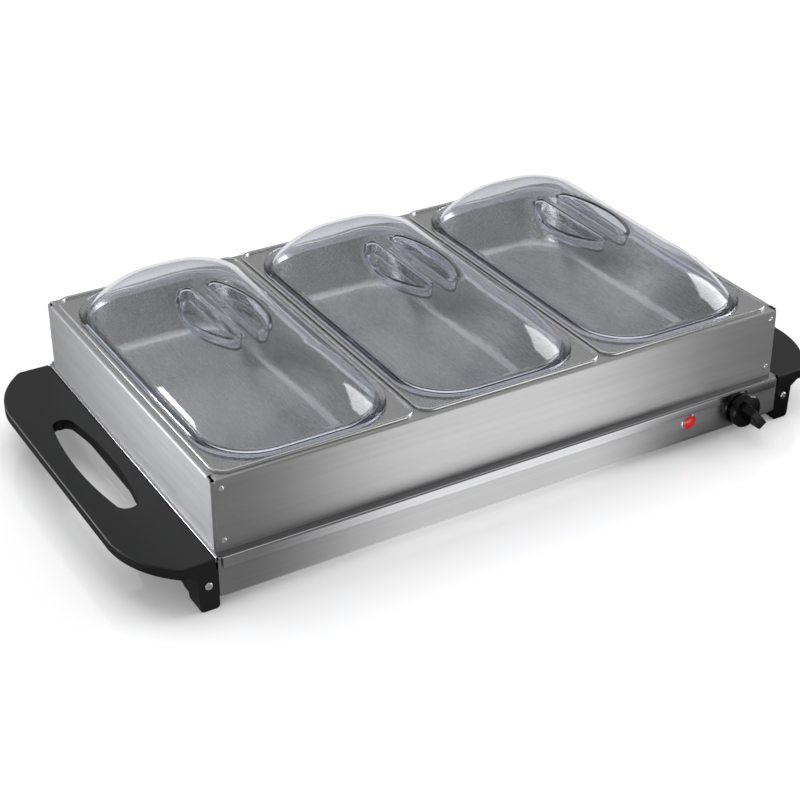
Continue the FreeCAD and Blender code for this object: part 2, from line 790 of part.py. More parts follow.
def lid():
    """Clear lid: flat rim on the pan's shelf, skirt inside the pan, dome with two finger wells."""
    rim_half_x = pan_half_x - lid_rim_inset
    rim_half_y = pan_half_y - lid_rim_inset
    rim = rounded_block(rim_half_x, rim_half_y, lid_rim_corner, shelf_top, lid_rim_top)
    rim = rim.makeFillet(0.8, upper_edges(rim, lid_rim_top))
    skirt_half_x = open_half_x - lid_skirt_fit
    skirt_half_y = open_half_y - lid_skirt_fit
    skirt_corner = pan_opening_corner - lid_skirt_fit
    skirt = rounded_block(skirt_half_x, skirt_half_y, skirt_corner, shelf_top - lid_skirt_drop,
                          shelf_top + 1)
    outer = dome(0.0)
    solid = joined([rim, skirt, outer])
    inner = dome(lid_wall)
    shell = solid.cut(inner)
    floor = dome_top - well_depth
    for side in (-1, 1):
        cup = well(side, lid_wall * 0.8, floor - lid_wall * 0.8).common(outer)
        shell = shell.fuse(cup)
        shell = shell.cut(well(side, 0.0, floor))
    gate = cylinder(gate_radius, Vector(0, 0, dome_top - 1), Vector(0, 0, dome_top + 0.1))
    return shell.fuse(gate).removeSplitter()


def knob():
    """Round knob with a flared rim, a hollow back, a hub on the shaft's flat and a tapered bar."""
    rim = knob_radius
    face = knob_face
    body = revolved([(0, knob_gap), (rim - 2.2, knob_gap), (rim - 1.6, 6.0), (rim - 1.6, 7.0),
                     (rim, 8.2), (rim, face - 1.0), (rim - 1.0, face), (0, face)], Vector(0, 0, 0), 0)
    hollow = revolved([(5.4, knob_gap - 1), (rim - 4.4, knob_gap - 1), (rim - 4.0, face - 2.5),
                       (5.4, face - 2.5)], Vector(0, 0, 0), 0)
    body = body.cut(hollow)
    foot = [Vector(-10.5, -4.3, face - 0.5), Vector(10.5, -5.2, face - 0.5),
            Vector(10.5, 5.2, face - 0.5), Vector(-10.5, 4.3, face - 0.5)]
    crest = [Vector(-9.4, -3.3, knob_front), Vector(10.0, -4.5, knob_front),
             Vector(10.0, 4.5, knob_front), Vector(-9.4, 3.3, knob_front)]
    bar = Part.makeLoft([Part.makePolygon(foot + foot[:1]), Part.makePolygon(crest + crest[:1])],
                        True, True)
    bar = bar.makeFillet(0.9, bar.Edges[:12])
    knob_solid = joined([body, bar])
    bore = shaft_section(knob_gap - 1, shaft_tip + 0.2, 0.05)
    knob_solid = knob_solid.cut(bore)
    knob_solid.rotate(Vector(0, 0, 0), Vector(0, 0, 1), pointer_angle)
    return on_panel(knob_solid)


def shaft_section(start, end, grow):
    """Round bar with a flat on one side, as it sits in the knob's hub, outside the bush."""
    rod = Part.makeCylinder(shaft_radius + grow, end - start, Vector(0, 0, start))
    flat = box(-5, 5, shaft_radius * 0.55 + grow, 6, start - 1, end + 1)
    return rod.cut(flat)


def on_panel(shape):
    """Moves a piece built along +Z to the control axis, pointing out of the front panel."""
    placed = shape.copy()
    placed.rotate(Vector(0, 0, 0), Vector(1, 0, 0), 90)
    placed.translate(Vector(knob_out, -base_half_y, control_height))
    return placed


def thermostat_shaft():
    round_end = Part.makeCylinder(shaft_radius, knob_gap - shaft_tail, Vector(0, 0, shaft_tail))
    shaft = joined([round_end, shaft_section(knob_gap - 0.01, shaft_tip, 0.0)])
    shaft.rotate(Vector(0, 0, 0), Vector(0, 0, 1), pointer_angle)
    return on_panel(shaft)


def thermostat_body():
    """Switch block with the threaded bush that comes through the panel and two spade terminals."""
    front = -base_sheet - 1.2
    block = Part.makeBox(28, 26, 20, Vector(-14, -13, front - 20))
    vertical = [e for e in block.Edges if e.BoundBox.ZLength > 19]
    block = block.makeFillet(3, vertical)
    bush = Part.makeCylinder(bush_radius, bush_tip - front, Vector(0, 0, front))
    solid = joined([block, bush])
    for side in (-1, 1):
        solid = solid.fuse(box(side * 8 - 3, side * 8 + 3, -0.4, 0.4, front - 28, front - 20))
    bore = Part.makeCylinder(shaft_radius + running_fit, 40, Vector(0, 0, shaft_tail - 0.3))
    return on_panel(solid.removeSplitter().cut(bore))


def thermostat_bracket():
    """Steel plate between the switch block and the panel, tapped for its two screws."""
    back = -base_sheet - 1.2
    plate = Part.makeBox(32, 18, 1.2, Vector(-16, -9, back))
    plate = plate.cut(Part.makeCylinder(bush_radius + hole_fit, 10, Vector(0, 0, back - 5)))
    for side in (-1, 1):
        hole = Part.makeCylinder(screw_radius + 0.05, 10, Vector(side * bracket_screw_out, 0, back - 5))
        plate = plate.cut(hole)
    return on_panel(plate)


def thermostat_screws():
    screws = []
    for side in (-1, 1):
        seat = Vector(knob_out + side * bracket_screw_out, -base_half_y, control_height)
        screws.append(pan_head_screw(base_sheet + 1.1, screw_radius, seat, Vector(0, -1, 0)))
    return screws


def knob_bezel():
    """Dished ring round the knob's foot, cut flat under the plate's lip, with two pegs."""
    outer = bezel_radius
    ring = revolved([(bezel_mouth, 0), (outer, 0), (outer, bezel_thick - 0.8), (outer - 0.8, bezel_thick),
                     (outer - 1.8, bezel_thick), (outer - 2.6, bezel_floor), (bezel_mouth, bezel_floor)],
                    Vector(0, 0, 0), 0)
    flat = plate_top - lip_drop - 0.4 - control_height
    ring = ring.cut(box(-20, 20, flat, 20, -1, 5))
    for side in (-1, 1):
        screw_clear = Part.makeCylinder(3.6, 5, Vector(side * bracket_screw_out, 0, -1))
        ring = ring.cut(screw_clear)
    pieces = [ring]
    for side in (-1, 1):
        foot = Vector(side * bezel_peg_out, -bezel_peg_down, -bezel_peg_length)
        pieces.append(Part.makeCylinder(bezel_peg, bezel_peg_length + 0.5, foot))
    return on_panel(joined(pieces))


def lamp_at(shape):
    placed = shape.copy()
    placed.rotate(Vector(0, 0, 0), Vector(1, 0, 0), 90)
    placed.translate(Vector(lamp_out, -base_half_y, control_height))
    return placed


def indicator_lens():
    """Red lens: a barrel in the ring with a low domed front."""
    crown = Part.makeSphere(lens_sphere, Vector(0, 0, lens_rise - lens_sphere))
    barrel = Part.makeCylinder(lamp_radius - 0.3, 9, Vector(0, 0, 0.1))
    return lamp_at(crown.common(barrel))


def indicator_ring():
    mouth = lamp_radius - 0.15
    return lamp_at(revolved([(mouth, 0), (ring_radius, 0), (ring_radius, ring_height - 0.5),
                             (ring_radius - 0.5, ring_height), (mouth, ring_height)], Vector(0, 0, 0), 0))


def indicator_body():
    """Lamp holder that passes through the panel, with two lead posts behind."""
    barrel = Part.makeCylinder(lamp_radius - 0.4, 20, Vector(0, 0, -20))
    for side in (-1, 1):
        barrel = barrel.fuse(Part.makeCylinder(0.8, 6, Vector(side * 2.6, 0, -26)))
    return lamp_at(barrel)


def indicator_clip():
    """Push-on spring washer that holds the lamp behind the panel."""
    ring = Part.makeCylinder(9.5, 0.8, Vector(0, 0, -base_sheet - 0.8))
    ring = ring.cut(Part.makeCylinder(lamp_radius - 0.3, 5, Vector(0, 0, -4)))
    for turn in (0, 90, 180, 270):
        slot = box(6, 8.2, -0.6, 0.6, -5, 5)
        slot.rotate(Vector(0, 0, 0), Vector(0, 0, 1), turn)
        ring = ring.cut(slot)
    return lamp_at(ring)


def cord_gland():
    """Moulded bushing in the rear wall that the supply cord would come through."""
    neck_length = 12.0
    profile = [(gland_bore, -neck_length), (gland_neck, -neck_length), (gland_neck, 0.0), (9.0, 0.0),
               (9.0, 2.2), (7.4, gland_flange), (gland_bore, gland_flange)]
    return revolved(profile, Vector(gland_out, base_half_y, gland_height), -90)


def heat_spreader():
    half_x = frame_half_x - plateau_margin - 12
    half_y = frame_half_y - plateau_margin - 12
    plate = rounded_block(half_x, half_y, 8, plateau_under - spreader_sheet, plateau_under)
    for x, y in stud_places():
        plate = plate.cut(cylinder(stud_radius + 0.3, Vector(x, y, 30), Vector(x, y, 60)))
    return plate


def tube_height():
    return plateau_under - spreader_sheet - seat_gap - tube_radius


def element_path():
    """Four runs joined by three half turns, ending in two cold pins at the right."""
    z = tube_height()
    rows = tube_rows()
    ends = (-tube_far, tube_near)
    edges = [Part.makeLine(Vector(tube_near + 55, rows[0], z), Vector(ends[0], rows[0], z))]
    for k in range(3):
        x = ends[k % 2]
        out = tube_pitch / 2 * (-1 if k % 2 == 0 else 1)
        edges.append(Part.Arc(Vector(x, rows[k], z), Vector(x + out, (rows[k] + rows[k + 1]) / 2, z),
                              Vector(x, rows[k + 1], z)).toShape())
        following = ends[(k + 1) % 2] if k < 2 else tube_near + 55
        edges.append(Part.makeLine(Vector(x, rows[k + 1], z), Vector(following, rows[k + 1], z)))
    return Part.Wire(edges)


def heating_element():
    path = element_path()
    start = path.OrderedVertexes[0].Point
    circle = Part.Wire(Part.makeCircle(tube_radius, start, Vector(1, 0, 0)))
    tube = path.makePipeShell([circle], True, False)
    for row in (tube_rows()[0], tube_rows()[-1]):
        pin = cylinder(1.4, Vector(tube_near + 54, row, tube_height()),
                       Vector(tube_near + 66, row, tube_height()))
        tube = tube.fuse(pin)
    return tube.removeSplitter()


def element_straps():
    """Pressed straps that hold the tube up against the spreader, humped over each run."""
    straps = []
    flat_top = plateau_under - spreader_sheet
    z = tube_height()
    half = 1.5 * tube_pitch + 12
    for x in strap_places():
        low = x - strap_width / 2
        strap = box(low, low + strap_width, -half, half, flat_top - strap_sheet, flat_top)
        for row in tube_rows():
            start = Vector(low, row, z)
            end = Vector(low + strap_width, row, z)
            hump = tube_radius + seat_gap + strap_sheet
            strap = strap.fuse(cylinder(hump, start, end))
            strap = strap.fuse(box(low, low + strap_width, row - hump, row + hump, z, flat_top))
        for row in tube_rows():
            start = Vector(low - 1, row, z)
            end = Vector(low + strap_width + 1, row, z)
            strap = strap.cut(cylinder(tube_radius + seat_gap, start, end))
            strap = strap.cut(box(low - 1, low + strap_width + 1, row - tube_radius - seat_gap,
                                  row + tube_radius + seat_gap, z, flat_top + 5))
        strap = strap.cut(box(low - 1, low + strap_width + 1, -half - 1, half + 1, flat_top, flat_top + 9))
        for place_x, y in stud_places():
            if place_x == x:
                strap = strap.cut(cylinder(stud_radius + 0.3, Vector(x, y, 30), Vector(x, y, 60)))
        straps.append(strap.removeSplitter())
    return straps


def strap_nuts():
    nuts = []
    top = plateau_under - spreader_sheet - strap_sheet
    for x, y in stud_places():
        corners = [Vector(x + 4.04 * math.cos(math.radians(60 * k)),
                          y + 4.04 * math.sin(math.radians(60 * k)), top - 3.2) for k in range(7)]
        nut = prism(Part.makePolygon(corners), 3.2)
        nuts.append(nut.cut(cylinder(stud_radius + 0.05, Vector(x, y, 20), Vector(x, y, 60))))
    return nuts


def thermal_fuse():
    """Sleeved fuse with its two wires, held against the spreader by its clip."""
    z = plateau_under - spreader_sheet - seat_gap - 2.2
    body = cylinder(2.2, Vector(20, 0, z), Vector(34, 0, z))
    wire = cylinder(0.6, Vector(10, 0, z), Vector(44, 0, z))
    return joined([body, wire])


def fuse_clip():
    """Saddle clip over the fuse, spot-welded to the spreader by its two feet."""
    flat_top = plateau_under - spreader_sheet
    z = flat_top - seat_gap - 2.2
    clip = box(23, 31, -9, 9, flat_top - 0.6, flat_top)
    clip = clip.fuse(cylinder(2.9, Vector(23, 0, z), Vector(31, 0, z)))
    clip = clip.cut(cylinder(2.3, Vector(22, 0, z), Vector(32, 0, z)))
    clip = clip.cut(box(22, 32, -2.3, 2.3, z, flat_top + 5))
    return clip.cut(box(22, 32, -12, 12, flat_top, flat_top + 5)).removeSplitter()


def insulation_pad():
    """Mineral fibre pad on the bottom cover, cut back round the controls and terminals."""
    pad = rounded_block(215, 140, 10, base_bottom, base_bottom + pad_height)
    return pad.cut(box(120, 230, -150, -95, 0, 40)).cut(box(120, 230, 95, 150, 0, 40))


terminal_y = 122.0
terminal_x = 170.0
terminal_pitch = 12.0


def terminal_screw_places():
    return (terminal_x - 1.5 * terminal_pitch, terminal_x + 1.5 * terminal_pitch)


def terminal_block():
    """Three-way ceramic terminal block on the bottom cover."""
    half = 2 * terminal_pitch
    block = box(terminal_x - half, terminal_x + half, terminal_y - 9, terminal_y + 9,
                base_bottom, base_bottom + 6)
    for k in (-1, 0, 1):
        x = terminal_x + k * terminal_pitch
        tower = box(x - 4.5, x + 4.5, terminal_y - 9, terminal_y + 9, base_bottom + 5, base_bottom + 16)
        tower = tower.cut(cylinder(2.4, Vector(x, terminal_y - 20, base_bottom + 9),
                                   Vector(x, terminal_y + 20, base_bottom + 9)))
        block = block.fuse(tower)
    for x in terminal_screw_places():
        block = block.cut(cylinder(screw_radius, Vector(x, terminal_y, 0), Vector(x, terminal_y, 40)))
    return block.removeSplitter()


def terminal_screws():
    low = base_bottom - base_sheet
    return [pan_head_screw(6, screw_radius - 0.1, Vector(x, terminal_y, low), Vector(0, 0, -1))
            for x in terminal_screw_places()]


def save(name, shapes):
    """Writes one node; a list holds separate solids of the same fastener."""
    solids = shapes if isinstance(shapes, list) else [shapes]
    placed = []
    for shape in solids:
        moved = shape.copy()
        moved.translate(Vector(0, middle_shift, 0))
        placed.extend(moved.Solids)
    whole = placed[0] if len(placed) == 1 else Part.makeCompound(placed)
    whole.exportStep("parts/" + name + ".step")
    print(name, len(placed), "solids, volume %.0f" % sum(s.Volume for s in placed),
          "valid" if all(s.isValid() for s in placed) else "INVALID")


def shifted(shape, x):
    moved = shape.copy()
    moved.translate(Vector(x, 0, 0))
    return moved


def main():
    os.makedirs("parts", exist_ok=True)
    save("warming_plate", warming_plate())
    save("base_front_panel", base_front_panel())
    save("base_rear_panel", base_rear_panel())
    side_panel = base_side_panel()
    save("base_right_panel", side_panel)
    save("base_left_panel", mirrored_x(side_panel))
    save("bottom_cover", bottom_cover())
    save("bottom_cover_screws", bottom_cover_screws())
    right_handle = handle()
    save("handle_right", right_handle)
    save("handle_left", mirrored_x(right_handle))
    save("handle_screws", handle_screws())
    save("handle_side_screws", handle_side_screws())
    save("thermostat_body", thermostat_body())
    save("thermostat_bracket", thermostat_bracket())
    save("thermostat_screws", thermostat_screws())
    save("thermostat_shaft", thermostat_shaft())
    save("knob", knob())
    save("knob_bezel", knob_bezel())
    save("indicator_lens", indicator_lens())
    save("indicator_ring", indicator_ring())
    save("indicator_body", indicator_body())
    save("indicator_clip", indicator_clip())
    save("cord_gland", cord_gland())
    save("heat_spreader", heat_spreader())
    save("heating_element", heating_element())
    save("element_straps", element_straps())
    save("strap_nuts", strap_nuts())
    save("thermal_fuse", thermal_fuse())
    save("fuse_clip", fuse_clip())
    save("insulation_pad", insulation_pad())
    save("terminal_block", terminal_block())
    save("terminal_screws", terminal_screws())
    long_panel = frame_long_panel()
    save("frame_front_panel", long_panel)
    save("frame_rear_panel", mirrored_y(long_panel))
    frame_side = frame_side_panel()
    save("frame_right_panel", frame_side)
    save("frame_left_panel", mirrored_x(frame_side))
    save("frame_divider_left", frame_divider(-pan_pitch / 2))
    save("frame_divider_right", frame_divider(pan_pitch / 2))
    save("frame_rivets", frame_rivets())
    one_pan = pan()
    one_lid = lid()
    for name, x in zip(bay_names, bay_centres):
        save("pan_" + name, shifted(one_pan, x))
        save("lid_" + name, shifted(one_lid, x))


main()
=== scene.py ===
import bmesh
import bpy
import math
from mathutils import Matrix, Vector
from mathutils.geometry import delaunay_2d_cdt


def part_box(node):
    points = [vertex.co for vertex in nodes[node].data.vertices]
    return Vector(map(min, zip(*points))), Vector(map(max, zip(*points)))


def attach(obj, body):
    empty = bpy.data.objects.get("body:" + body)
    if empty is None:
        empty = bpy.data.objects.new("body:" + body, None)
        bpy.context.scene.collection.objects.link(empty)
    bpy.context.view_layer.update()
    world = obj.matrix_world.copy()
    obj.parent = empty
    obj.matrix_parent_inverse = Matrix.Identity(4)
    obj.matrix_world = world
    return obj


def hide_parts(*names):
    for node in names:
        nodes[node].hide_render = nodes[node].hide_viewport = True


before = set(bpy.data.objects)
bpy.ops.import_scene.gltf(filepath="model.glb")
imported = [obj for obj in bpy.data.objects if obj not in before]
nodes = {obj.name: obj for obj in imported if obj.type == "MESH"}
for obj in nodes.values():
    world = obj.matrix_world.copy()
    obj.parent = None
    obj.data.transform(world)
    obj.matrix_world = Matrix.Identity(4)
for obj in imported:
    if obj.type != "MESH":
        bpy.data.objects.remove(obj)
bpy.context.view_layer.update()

millimetre = 0.001
sides = (-1, 1)
bays = ("left", "middle", "right")


# Small helpers for shader and geometry trees

def addNode(tree, kind, at=(0, 0), **settings):
    node = tree.nodes.new(kind)
    node.location = at
    for key, value in settings.items():
        setattr(node, key, value)
    return node


def addObject(name, data):
    made = bpy.data.objects.new(name, data)
    bpy.context.scene.collection.objects.link(made)
    return made


def setInputs(node, values):
    for name, value in values.items():
        node.inputs[name].default_value = value


def blankMaterial(name):
    material = bpy.data.materials.new(name)
    material.use_nodes = True
    shader = material.node_tree.nodes["Principled BSDF"]
    return material, material.node_tree, shader


def noiseAlong(tree, scale, detail=2.0, roughness=0.5):
    place = addNode(tree, "ShaderNodeTexCoord", (-1200, 0))
    stretch = addNode(tree, "ShaderNodeMapping", (-1000, 0))
    stretch.inputs["Scale"].default_value = scale
    noise = addNode(tree, "ShaderNodeTexNoise", (-800, 0))
    setInputs(noise, {"Scale": 1.0, "Detail": detail, "Roughness": roughness})
    tree.links.new(place.outputs["Object"], stretch.inputs["Vector"])
    tree.links.new(stretch.outputs["Vector"], noise.inputs["Vector"])
    return noise.outputs["Fac"]


noiseSpan = {"From Min": 0.3, "From Max": 0.7}  # most of a noise lies between these


def remap(tree, source, low, high):
    node = addNode(tree, "ShaderNodeMapRange", (-500, 0))
    setInputs(node, {**noiseSpan, "To Min": low, "To Max": high})
    tree.links.new(source, node.inputs["Value"])
    return node.outputs["Result"]


def feed(tree, sockets, values):
    for socket, value in zip(sockets, values):
        if isinstance(value, (int, float)):
            socket.default_value = value
        else:
            tree.links.new(value, socket)


def mathNode(tree, operation, first, second=0.0):
    node = addNode(tree, "ShaderNodeMath", (-400, 0), operation=operation)
    feed(tree, node.inputs, (first, second))
    return node.outputs["Value"]


def calculator(tree):
    def calc(operation, first, second=0.0):
        return mathNode(tree, operation, first, second)
    return calc


def vectorOf(tree, x, y, z):
    node = addNode(tree, "ShaderNodeCombineXYZ", (-600, -200))
    feed(tree, node.inputs, (x, y, z))
    return node.outputs["Vector"]


def scaledColour(tree, colour, factor):
    node = addNode(tree, "ShaderNodeVectorMath", (-300, 0), operation="SCALE")
    node.inputs[0].default_value = colour[:3]
    tree.links.new(factor, node.inputs["Scale"])
    return node.outputs["Vector"]


def addBump(tree, shader, height, strength, depth):
    bump = addNode(tree, "ShaderNodeBump", (-200, -300))
    setInputs(bump, {"Strength": strength, "Distance": depth})
    tree.links.new(height, bump.inputs["Height"])
    tree.links.new(bump.outputs["Normal"], shader.inputs["Normal"])


# Finishes: steel with streaks along its sheet, drawn steel, mouldings, clear plastic

streaks = dict(fineLength=110, broadLength=90, fineShade=(0.90, 1.06), broadShade=(0.95, 1.04),
               depth=0.00004)
steelLooks = {
    "front": dict(colour=(0.50, 0.50, 0.505), along="X", spread=(0.01, 0.02, 1), fine=2400, broad=160,
                       rough=(0.38, 0.50), bump=0.16, stretch=0.8),
    "side": dict(colour=(0.50, 0.503, 0.515), along="Y", spread=(0.02, 0.01, 1), fine=2400, broad=160,
                      rough=(0.38, 0.50), bump=0.16, stretch=0.8),
    "baseFront": dict(colour=(0.43, 0.43, 0.435), along="X", spread=(0.01, 0.02, 1), fine=2000, broad=220,
                      rough=(0.36, 0.50), bump=0.22, stretch=0.8),
    "baseSide": dict(colour=(0.45, 0.45, 0.46), along="Y", spread=(0.02, 0.01, 1), fine=2000, broad=220,
                     rough=(0.36, 0.50), bump=0.22, stretch=0.8),
    "plate": dict(colour=(0.44, 0.44, 0.45), along="X", spread=(0.02, 1, 0.01), fine=2200, broad=180,
                  rough=(0.13, 0.22), bump=0.12, stretch=0.2),
    "cover": dict(colour=(0.50, 0.50, 0.50), along="X", spread=(0.02, 1, 0.01), fine=900, broad=60,
                  rough=(0.42, 0.55), bump=0.10, stretch=0.6),
    "spring": dict(colour=(0.60, 0.60, 0.58), along="Y", spread=(1, 0.02, 0.01), fine=1500, broad=200,
                   rough=(0.30, 0.45), bump=0.10, stretch=0.4),
}


def brushedSteel(name, look):
    material, tree, shader = blankMaterial(name)
    axis = "XYZ".index(look["along"])
    fineScale = [look["fine"]] * 3
    fineScale[axis] = look["fine"] / streaks["fineLength"]
    broadScale = [look["broad"]] * 3
    broadScale[axis] = look["broad"] / streaks["broadLength"]
    fine = noiseAlong(tree, fineScale, detail=3.0, roughness=0.65)
    broad = noiseAlong(tree, broadScale)
    shade = mathNode(tree, "MULTIPLY", remap(tree, fine, *streaks["fineShade"]),
                     remap(tree, broad, *streaks["broadShade"]))
    tree.links.new(scaledColour(tree, look["colour"], shade), shader.inputs["Base Color"])
    tree.links.new(remap(tree, fine, *look["rough"]), shader.inputs["Roughness"])
    setInputs(shader, {"Metallic": 1.0, "Anisotropic": look["stretch"]})
    tree.links.new(vectorOf(tree, *look["spread"]), shader.inputs["Tangent"])  # across the streaks
    addBump(tree, shader, fine, look["bump"], streaks["depth"])
    return material


panLook = dict(colour=(0.58, 0.58, 0.58), rough=(0.20, 0.30), grain=900, grainLength=14, shade=(0.97, 1.02),
               cloud=9, bump=0.05, depth=0.00004)


def drawnSteel(name, look):
    material, tree, shader = blankMaterial(name)
    grain = noiseAlong(tree, (look["grain"], look["grain"] / look["grainLength"], look["grain"]), detail=3.0,
                       roughness=0.6)
    cloud = noiseAlong(tree, [look["cloud"]] * 3)
    shade = mathNode(tree, "MULTIPLY", remap(tree, grain, *look["shade"]),
                     remap(tree, cloud, *look["shade"]))
    tree.links.new(scaledColour(tree, look["colour"], shade), shader.inputs["Base Color"])
    tree.links.new(remap(tree, grain, *look["rough"]), shader.inputs["Roughness"])
    shader.inputs["Metallic"].default_value = 1.0
    addBump(tree, shader, grain, look["bump"], look["depth"])
    return material


metalSkin = dict(cloud=700, shade=(0.93, 1.04))


def plainMetal(name, colour, rough):
    material, tree, shader = blankMaterial(name)
    cloud = noiseAlong(tree, [metalSkin["cloud"]] * 3)
    shade = remap(tree, cloud, *metalSkin["shade"])
    tree.links.new(scaledColour(tree, colour, shade), shader.inputs["Base Color"])
    tree.links.new(remap(tree, cloud, *rough), shader.inputs["Roughness"])
    shader.inputs["Metallic"].default_value = 1.0
    return material


mouldSkin = dict(cloud=14, shade=(0.92, 1.08), coatRough=0.06, depth=0.00005)


def mouldedPlastic(name, colour, rough, grain, bump, coat=0.0, specular=0.5):
    material, tree, shader = blankMaterial(name)
    skin = noiseAlong(tree, (grain, grain, grain), detail=3.0, roughness=0.6)
    shade = remap(tree, noiseAlong(tree, [mouldSkin["cloud"]] * 3), *mouldSkin["shade"])
    tree.links.new(scaledColour(tree, colour, shade), shader.inputs["Base Color"])
    tree.links.new(remap(tree, skin, *rough), shader.inputs["Roughness"])
    setInputs(shader, {"Coat Weight": coat, "Coat Roughness": mouldSkin["coatRough"],
                       "Specular IOR Level": specular})
    addBump(tree, shader, skin, bump, mouldSkin["depth"])
    return material


clearLook = dict(tint=(0.985, 0.99, 1.0, 1), absorb=(0.30, 0.42, 0.88, 1), density=20.0, rough=(0.01, 0.03),
                 ior=1.52, haze=30)


def clearPlastic(name, look):
    material, tree, shader = blankMaterial(name)
    setInputs(shader, {"Base Color": look["tint"], "Transmission Weight": 1.0, "IOR": look["ior"]})
    haze = noiseAlong(tree, [look["haze"]] * 3)
    tree.links.new(remap(tree, haze, *look["rough"]), shader.inputs["Roughness"])
    path = addNode(tree, "ShaderNodeLightPath", (-300, 300))
    clear = addNode(tree, "ShaderNodeBsdfTransparent", (0, 300))
    mix = addNode(tree, "ShaderNodeMixShader", (200, 100))
    passes = mathNode(tree, "MAXIMUM", path.outputs["Is Shadow Ray"], path.outputs["Is Diffuse Ray"])
    tree.links.new(passes, mix.inputs["Fac"])
    tree.links.new(shader.outputs["BSDF"], mix.inputs[1])
    tree.links.new(clear.outputs["BSDF"], mix.inputs[2])
    volume = addNode(tree, "ShaderNodeVolumeAbsorption", (200, -200))
    setInputs(volume, {"Color": look["absorb"], "Density": look["density"]})
    out = tree.nodes["Material Output"]
    tree.links.new(mix.outputs["Shader"], out.inputs["Surface"])
    tree.links.new(volume.outputs["Volume"], out.inputs["Volume"])
    return material


lensLook = dict(colour=(0.60, 0.006, 0.010, 1), rough=0.10, through=0.2, coat=0.6, glow=(0.06, 0.20),
                glowColour=(1.0, 0.03, 0.03, 1), glowPatches=260)


def litLens(name, look):
    material, tree, shader = blankMaterial(name)
    setInputs(shader, {"Base Color": look["colour"], "Roughness": look["rough"], "Coat Weight": look["coat"],
                       "Transmission Weight": look["through"], "Emission Color": look["glowColour"]})
    glow = noiseAlong(tree, [look["glowPatches"]] * 3, detail=1.0)
    tree.links.new(remap(tree, glow, *look["glow"]), shader.inputs["Emission Strength"])
    return material


finishes = {name: brushedSteel(name + "Steel", look) for name, look in steelLooks.items()}
finishes.update({
    "pan": drawnSteel("panSteel", panLook),
    "rivet": plainMetal("rivetMetal", (0.78, 0.78, 0.79), (0.22, 0.34)),
    "screw": plainMetal("screwSteel", (0.80, 0.80, 0.80), (0.16, 0.28)),
    # Thermostat screws painted near-black: painted shade for the dark gap between bezel and knob
    "screwPaintedShade": plainMetal("screwPaintedShadeSteel", (0.09, 0.09, 0.09), (0.30, 0.42)),
    "ring": plainMetal("brightRing", (0.88, 0.88, 0.89), (0.06, 0.12)),
    "aluminium": plainMetal("millAluminium", (0.75, 0.75, 0.76), (0.30, 0.45)),
    "sheath": plainMetal("elementSheath", (0.30, 0.27, 0.25), (0.40, 0.60)),
    "handle": mouldedPlastic("handlePlastic", (0.0020, 0.0022, 0.0028), (0.32, 0.44), 2600, 0.22, 0.0, 0.42),
    "knob": mouldedPlastic("knobPlastic", (0.0015, 0.0015, 0.0018), (0.12, 0.18), 1800, 0.05, 0.35, 0.3),
    "lid": clearPlastic("clearLidPlastic", clearLook),
    "lens": litLens("redLens", lensLook),
    "lampBody": mouldedPlastic("lampPlastic", (0.80, 0.78, 0.72), (0.40, 0.55), 1500, 0.1),
    "resin": mouldedPlastic("thermostatResin", (0.11, 0.08, 0.06), (0.45, 0.60), 1500, 0.2),
    "rubber": mouldedPlastic("glandRubber", (0.045, 0.045, 0.045), (0.60, 0.75), 1800, 0.2),
    "sleeve": mouldedPlastic("fuseSleeve", (0.80, 0.76, 0.62), (0.70, 0.85), 2200, 0.5),
    "fibre": mouldedPlastic("padFibre", (0.82, 0.80, 0.72), (0.85, 0.95), 500, 0.9),
    "ceramic": mouldedPlastic("terminalCeramic", (0.86, 0.85, 0.80), (0.50, 0.65), 900, 0.15),
})

nodesOfFinish = {
    "front": ("frame_front_panel", "frame_rear_panel"),
    "side": ("frame_left_panel", "frame_right_panel", "frame_divider_left", "frame_divider_right"),
    "baseFront": ("base_front_panel", "base_rear_panel"),
    "baseSide": ("base_left_panel", "base_right_panel"),
    "plate": ("warming_plate",),
    "cover": ("bottom_cover",),
    "pan": ("pan_left", "pan_middle", "pan_right"),
    "lid": ("lid_left", "lid_middle", "lid_right"),
    "rivet": ("frame_rivets",),
    "screw": ("handle_screws", "handle_side_screws", "bottom_cover_screws", "terminal_screws", "strap_nuts"),
    "screwPaintedShade": ("thermostat_screws",),
    "handle": ("handle_left", "handle_right"),
    "knob": ("knob", "knob_bezel"),
    "lens": ("indicator_lens",),
    "ring": ("indicator_ring",),
    "lampBody": ("indicator_body",),
    "spring": ("indicator_clip", "fuse_clip", "element_straps", "thermostat_bracket", "thermostat_shaft"),
    "resin": ("thermostat_body",),
    "rubber": ("cord_gland",),
    "aluminium": ("heat_spreader",),
    "sheath": ("heating_element",),
    "sleeve": ("thermal_fuse",),
    "fibre": ("insulation_pad",),
    "ceramic": ("terminal_block",),
}
for finish, names in nodesOfFinish.items():
    for name in names:
        nodes[name].data.materials.clear()
        nodes[name].data.materials.append(finishes[finish])
print("finishes put on", sum(map(len, nodesOfFinish.values())), "nodes")


# Geometry trees: each grows a plain mesh from a few seed points

def newTree(name, sizes):
    tree = bpy.data.node_groups.new(name, "GeometryNodeTree")
    tree.interface.new_socket("Seed", in_out="INPUT", socket_type="NodeSocketGeometry")
    for label, value in sizes.items():
        kind = "NodeSocketInt" if isinstance(value, int) else "NodeSocketFloat"
        tree.interface.new_socket(label, in_out="INPUT", socket_type=kind).default_value = value
    tree.interface.new_socket("Finish", in_out="INPUT", socket_type="NodeSocketMaterial")
    tree.interface.new_socket("Made", in_out="OUTPUT", socket_type="NodeSocketGeometry")
    return tree, addNode(tree, "NodeGroupInput", (-1600, 0))


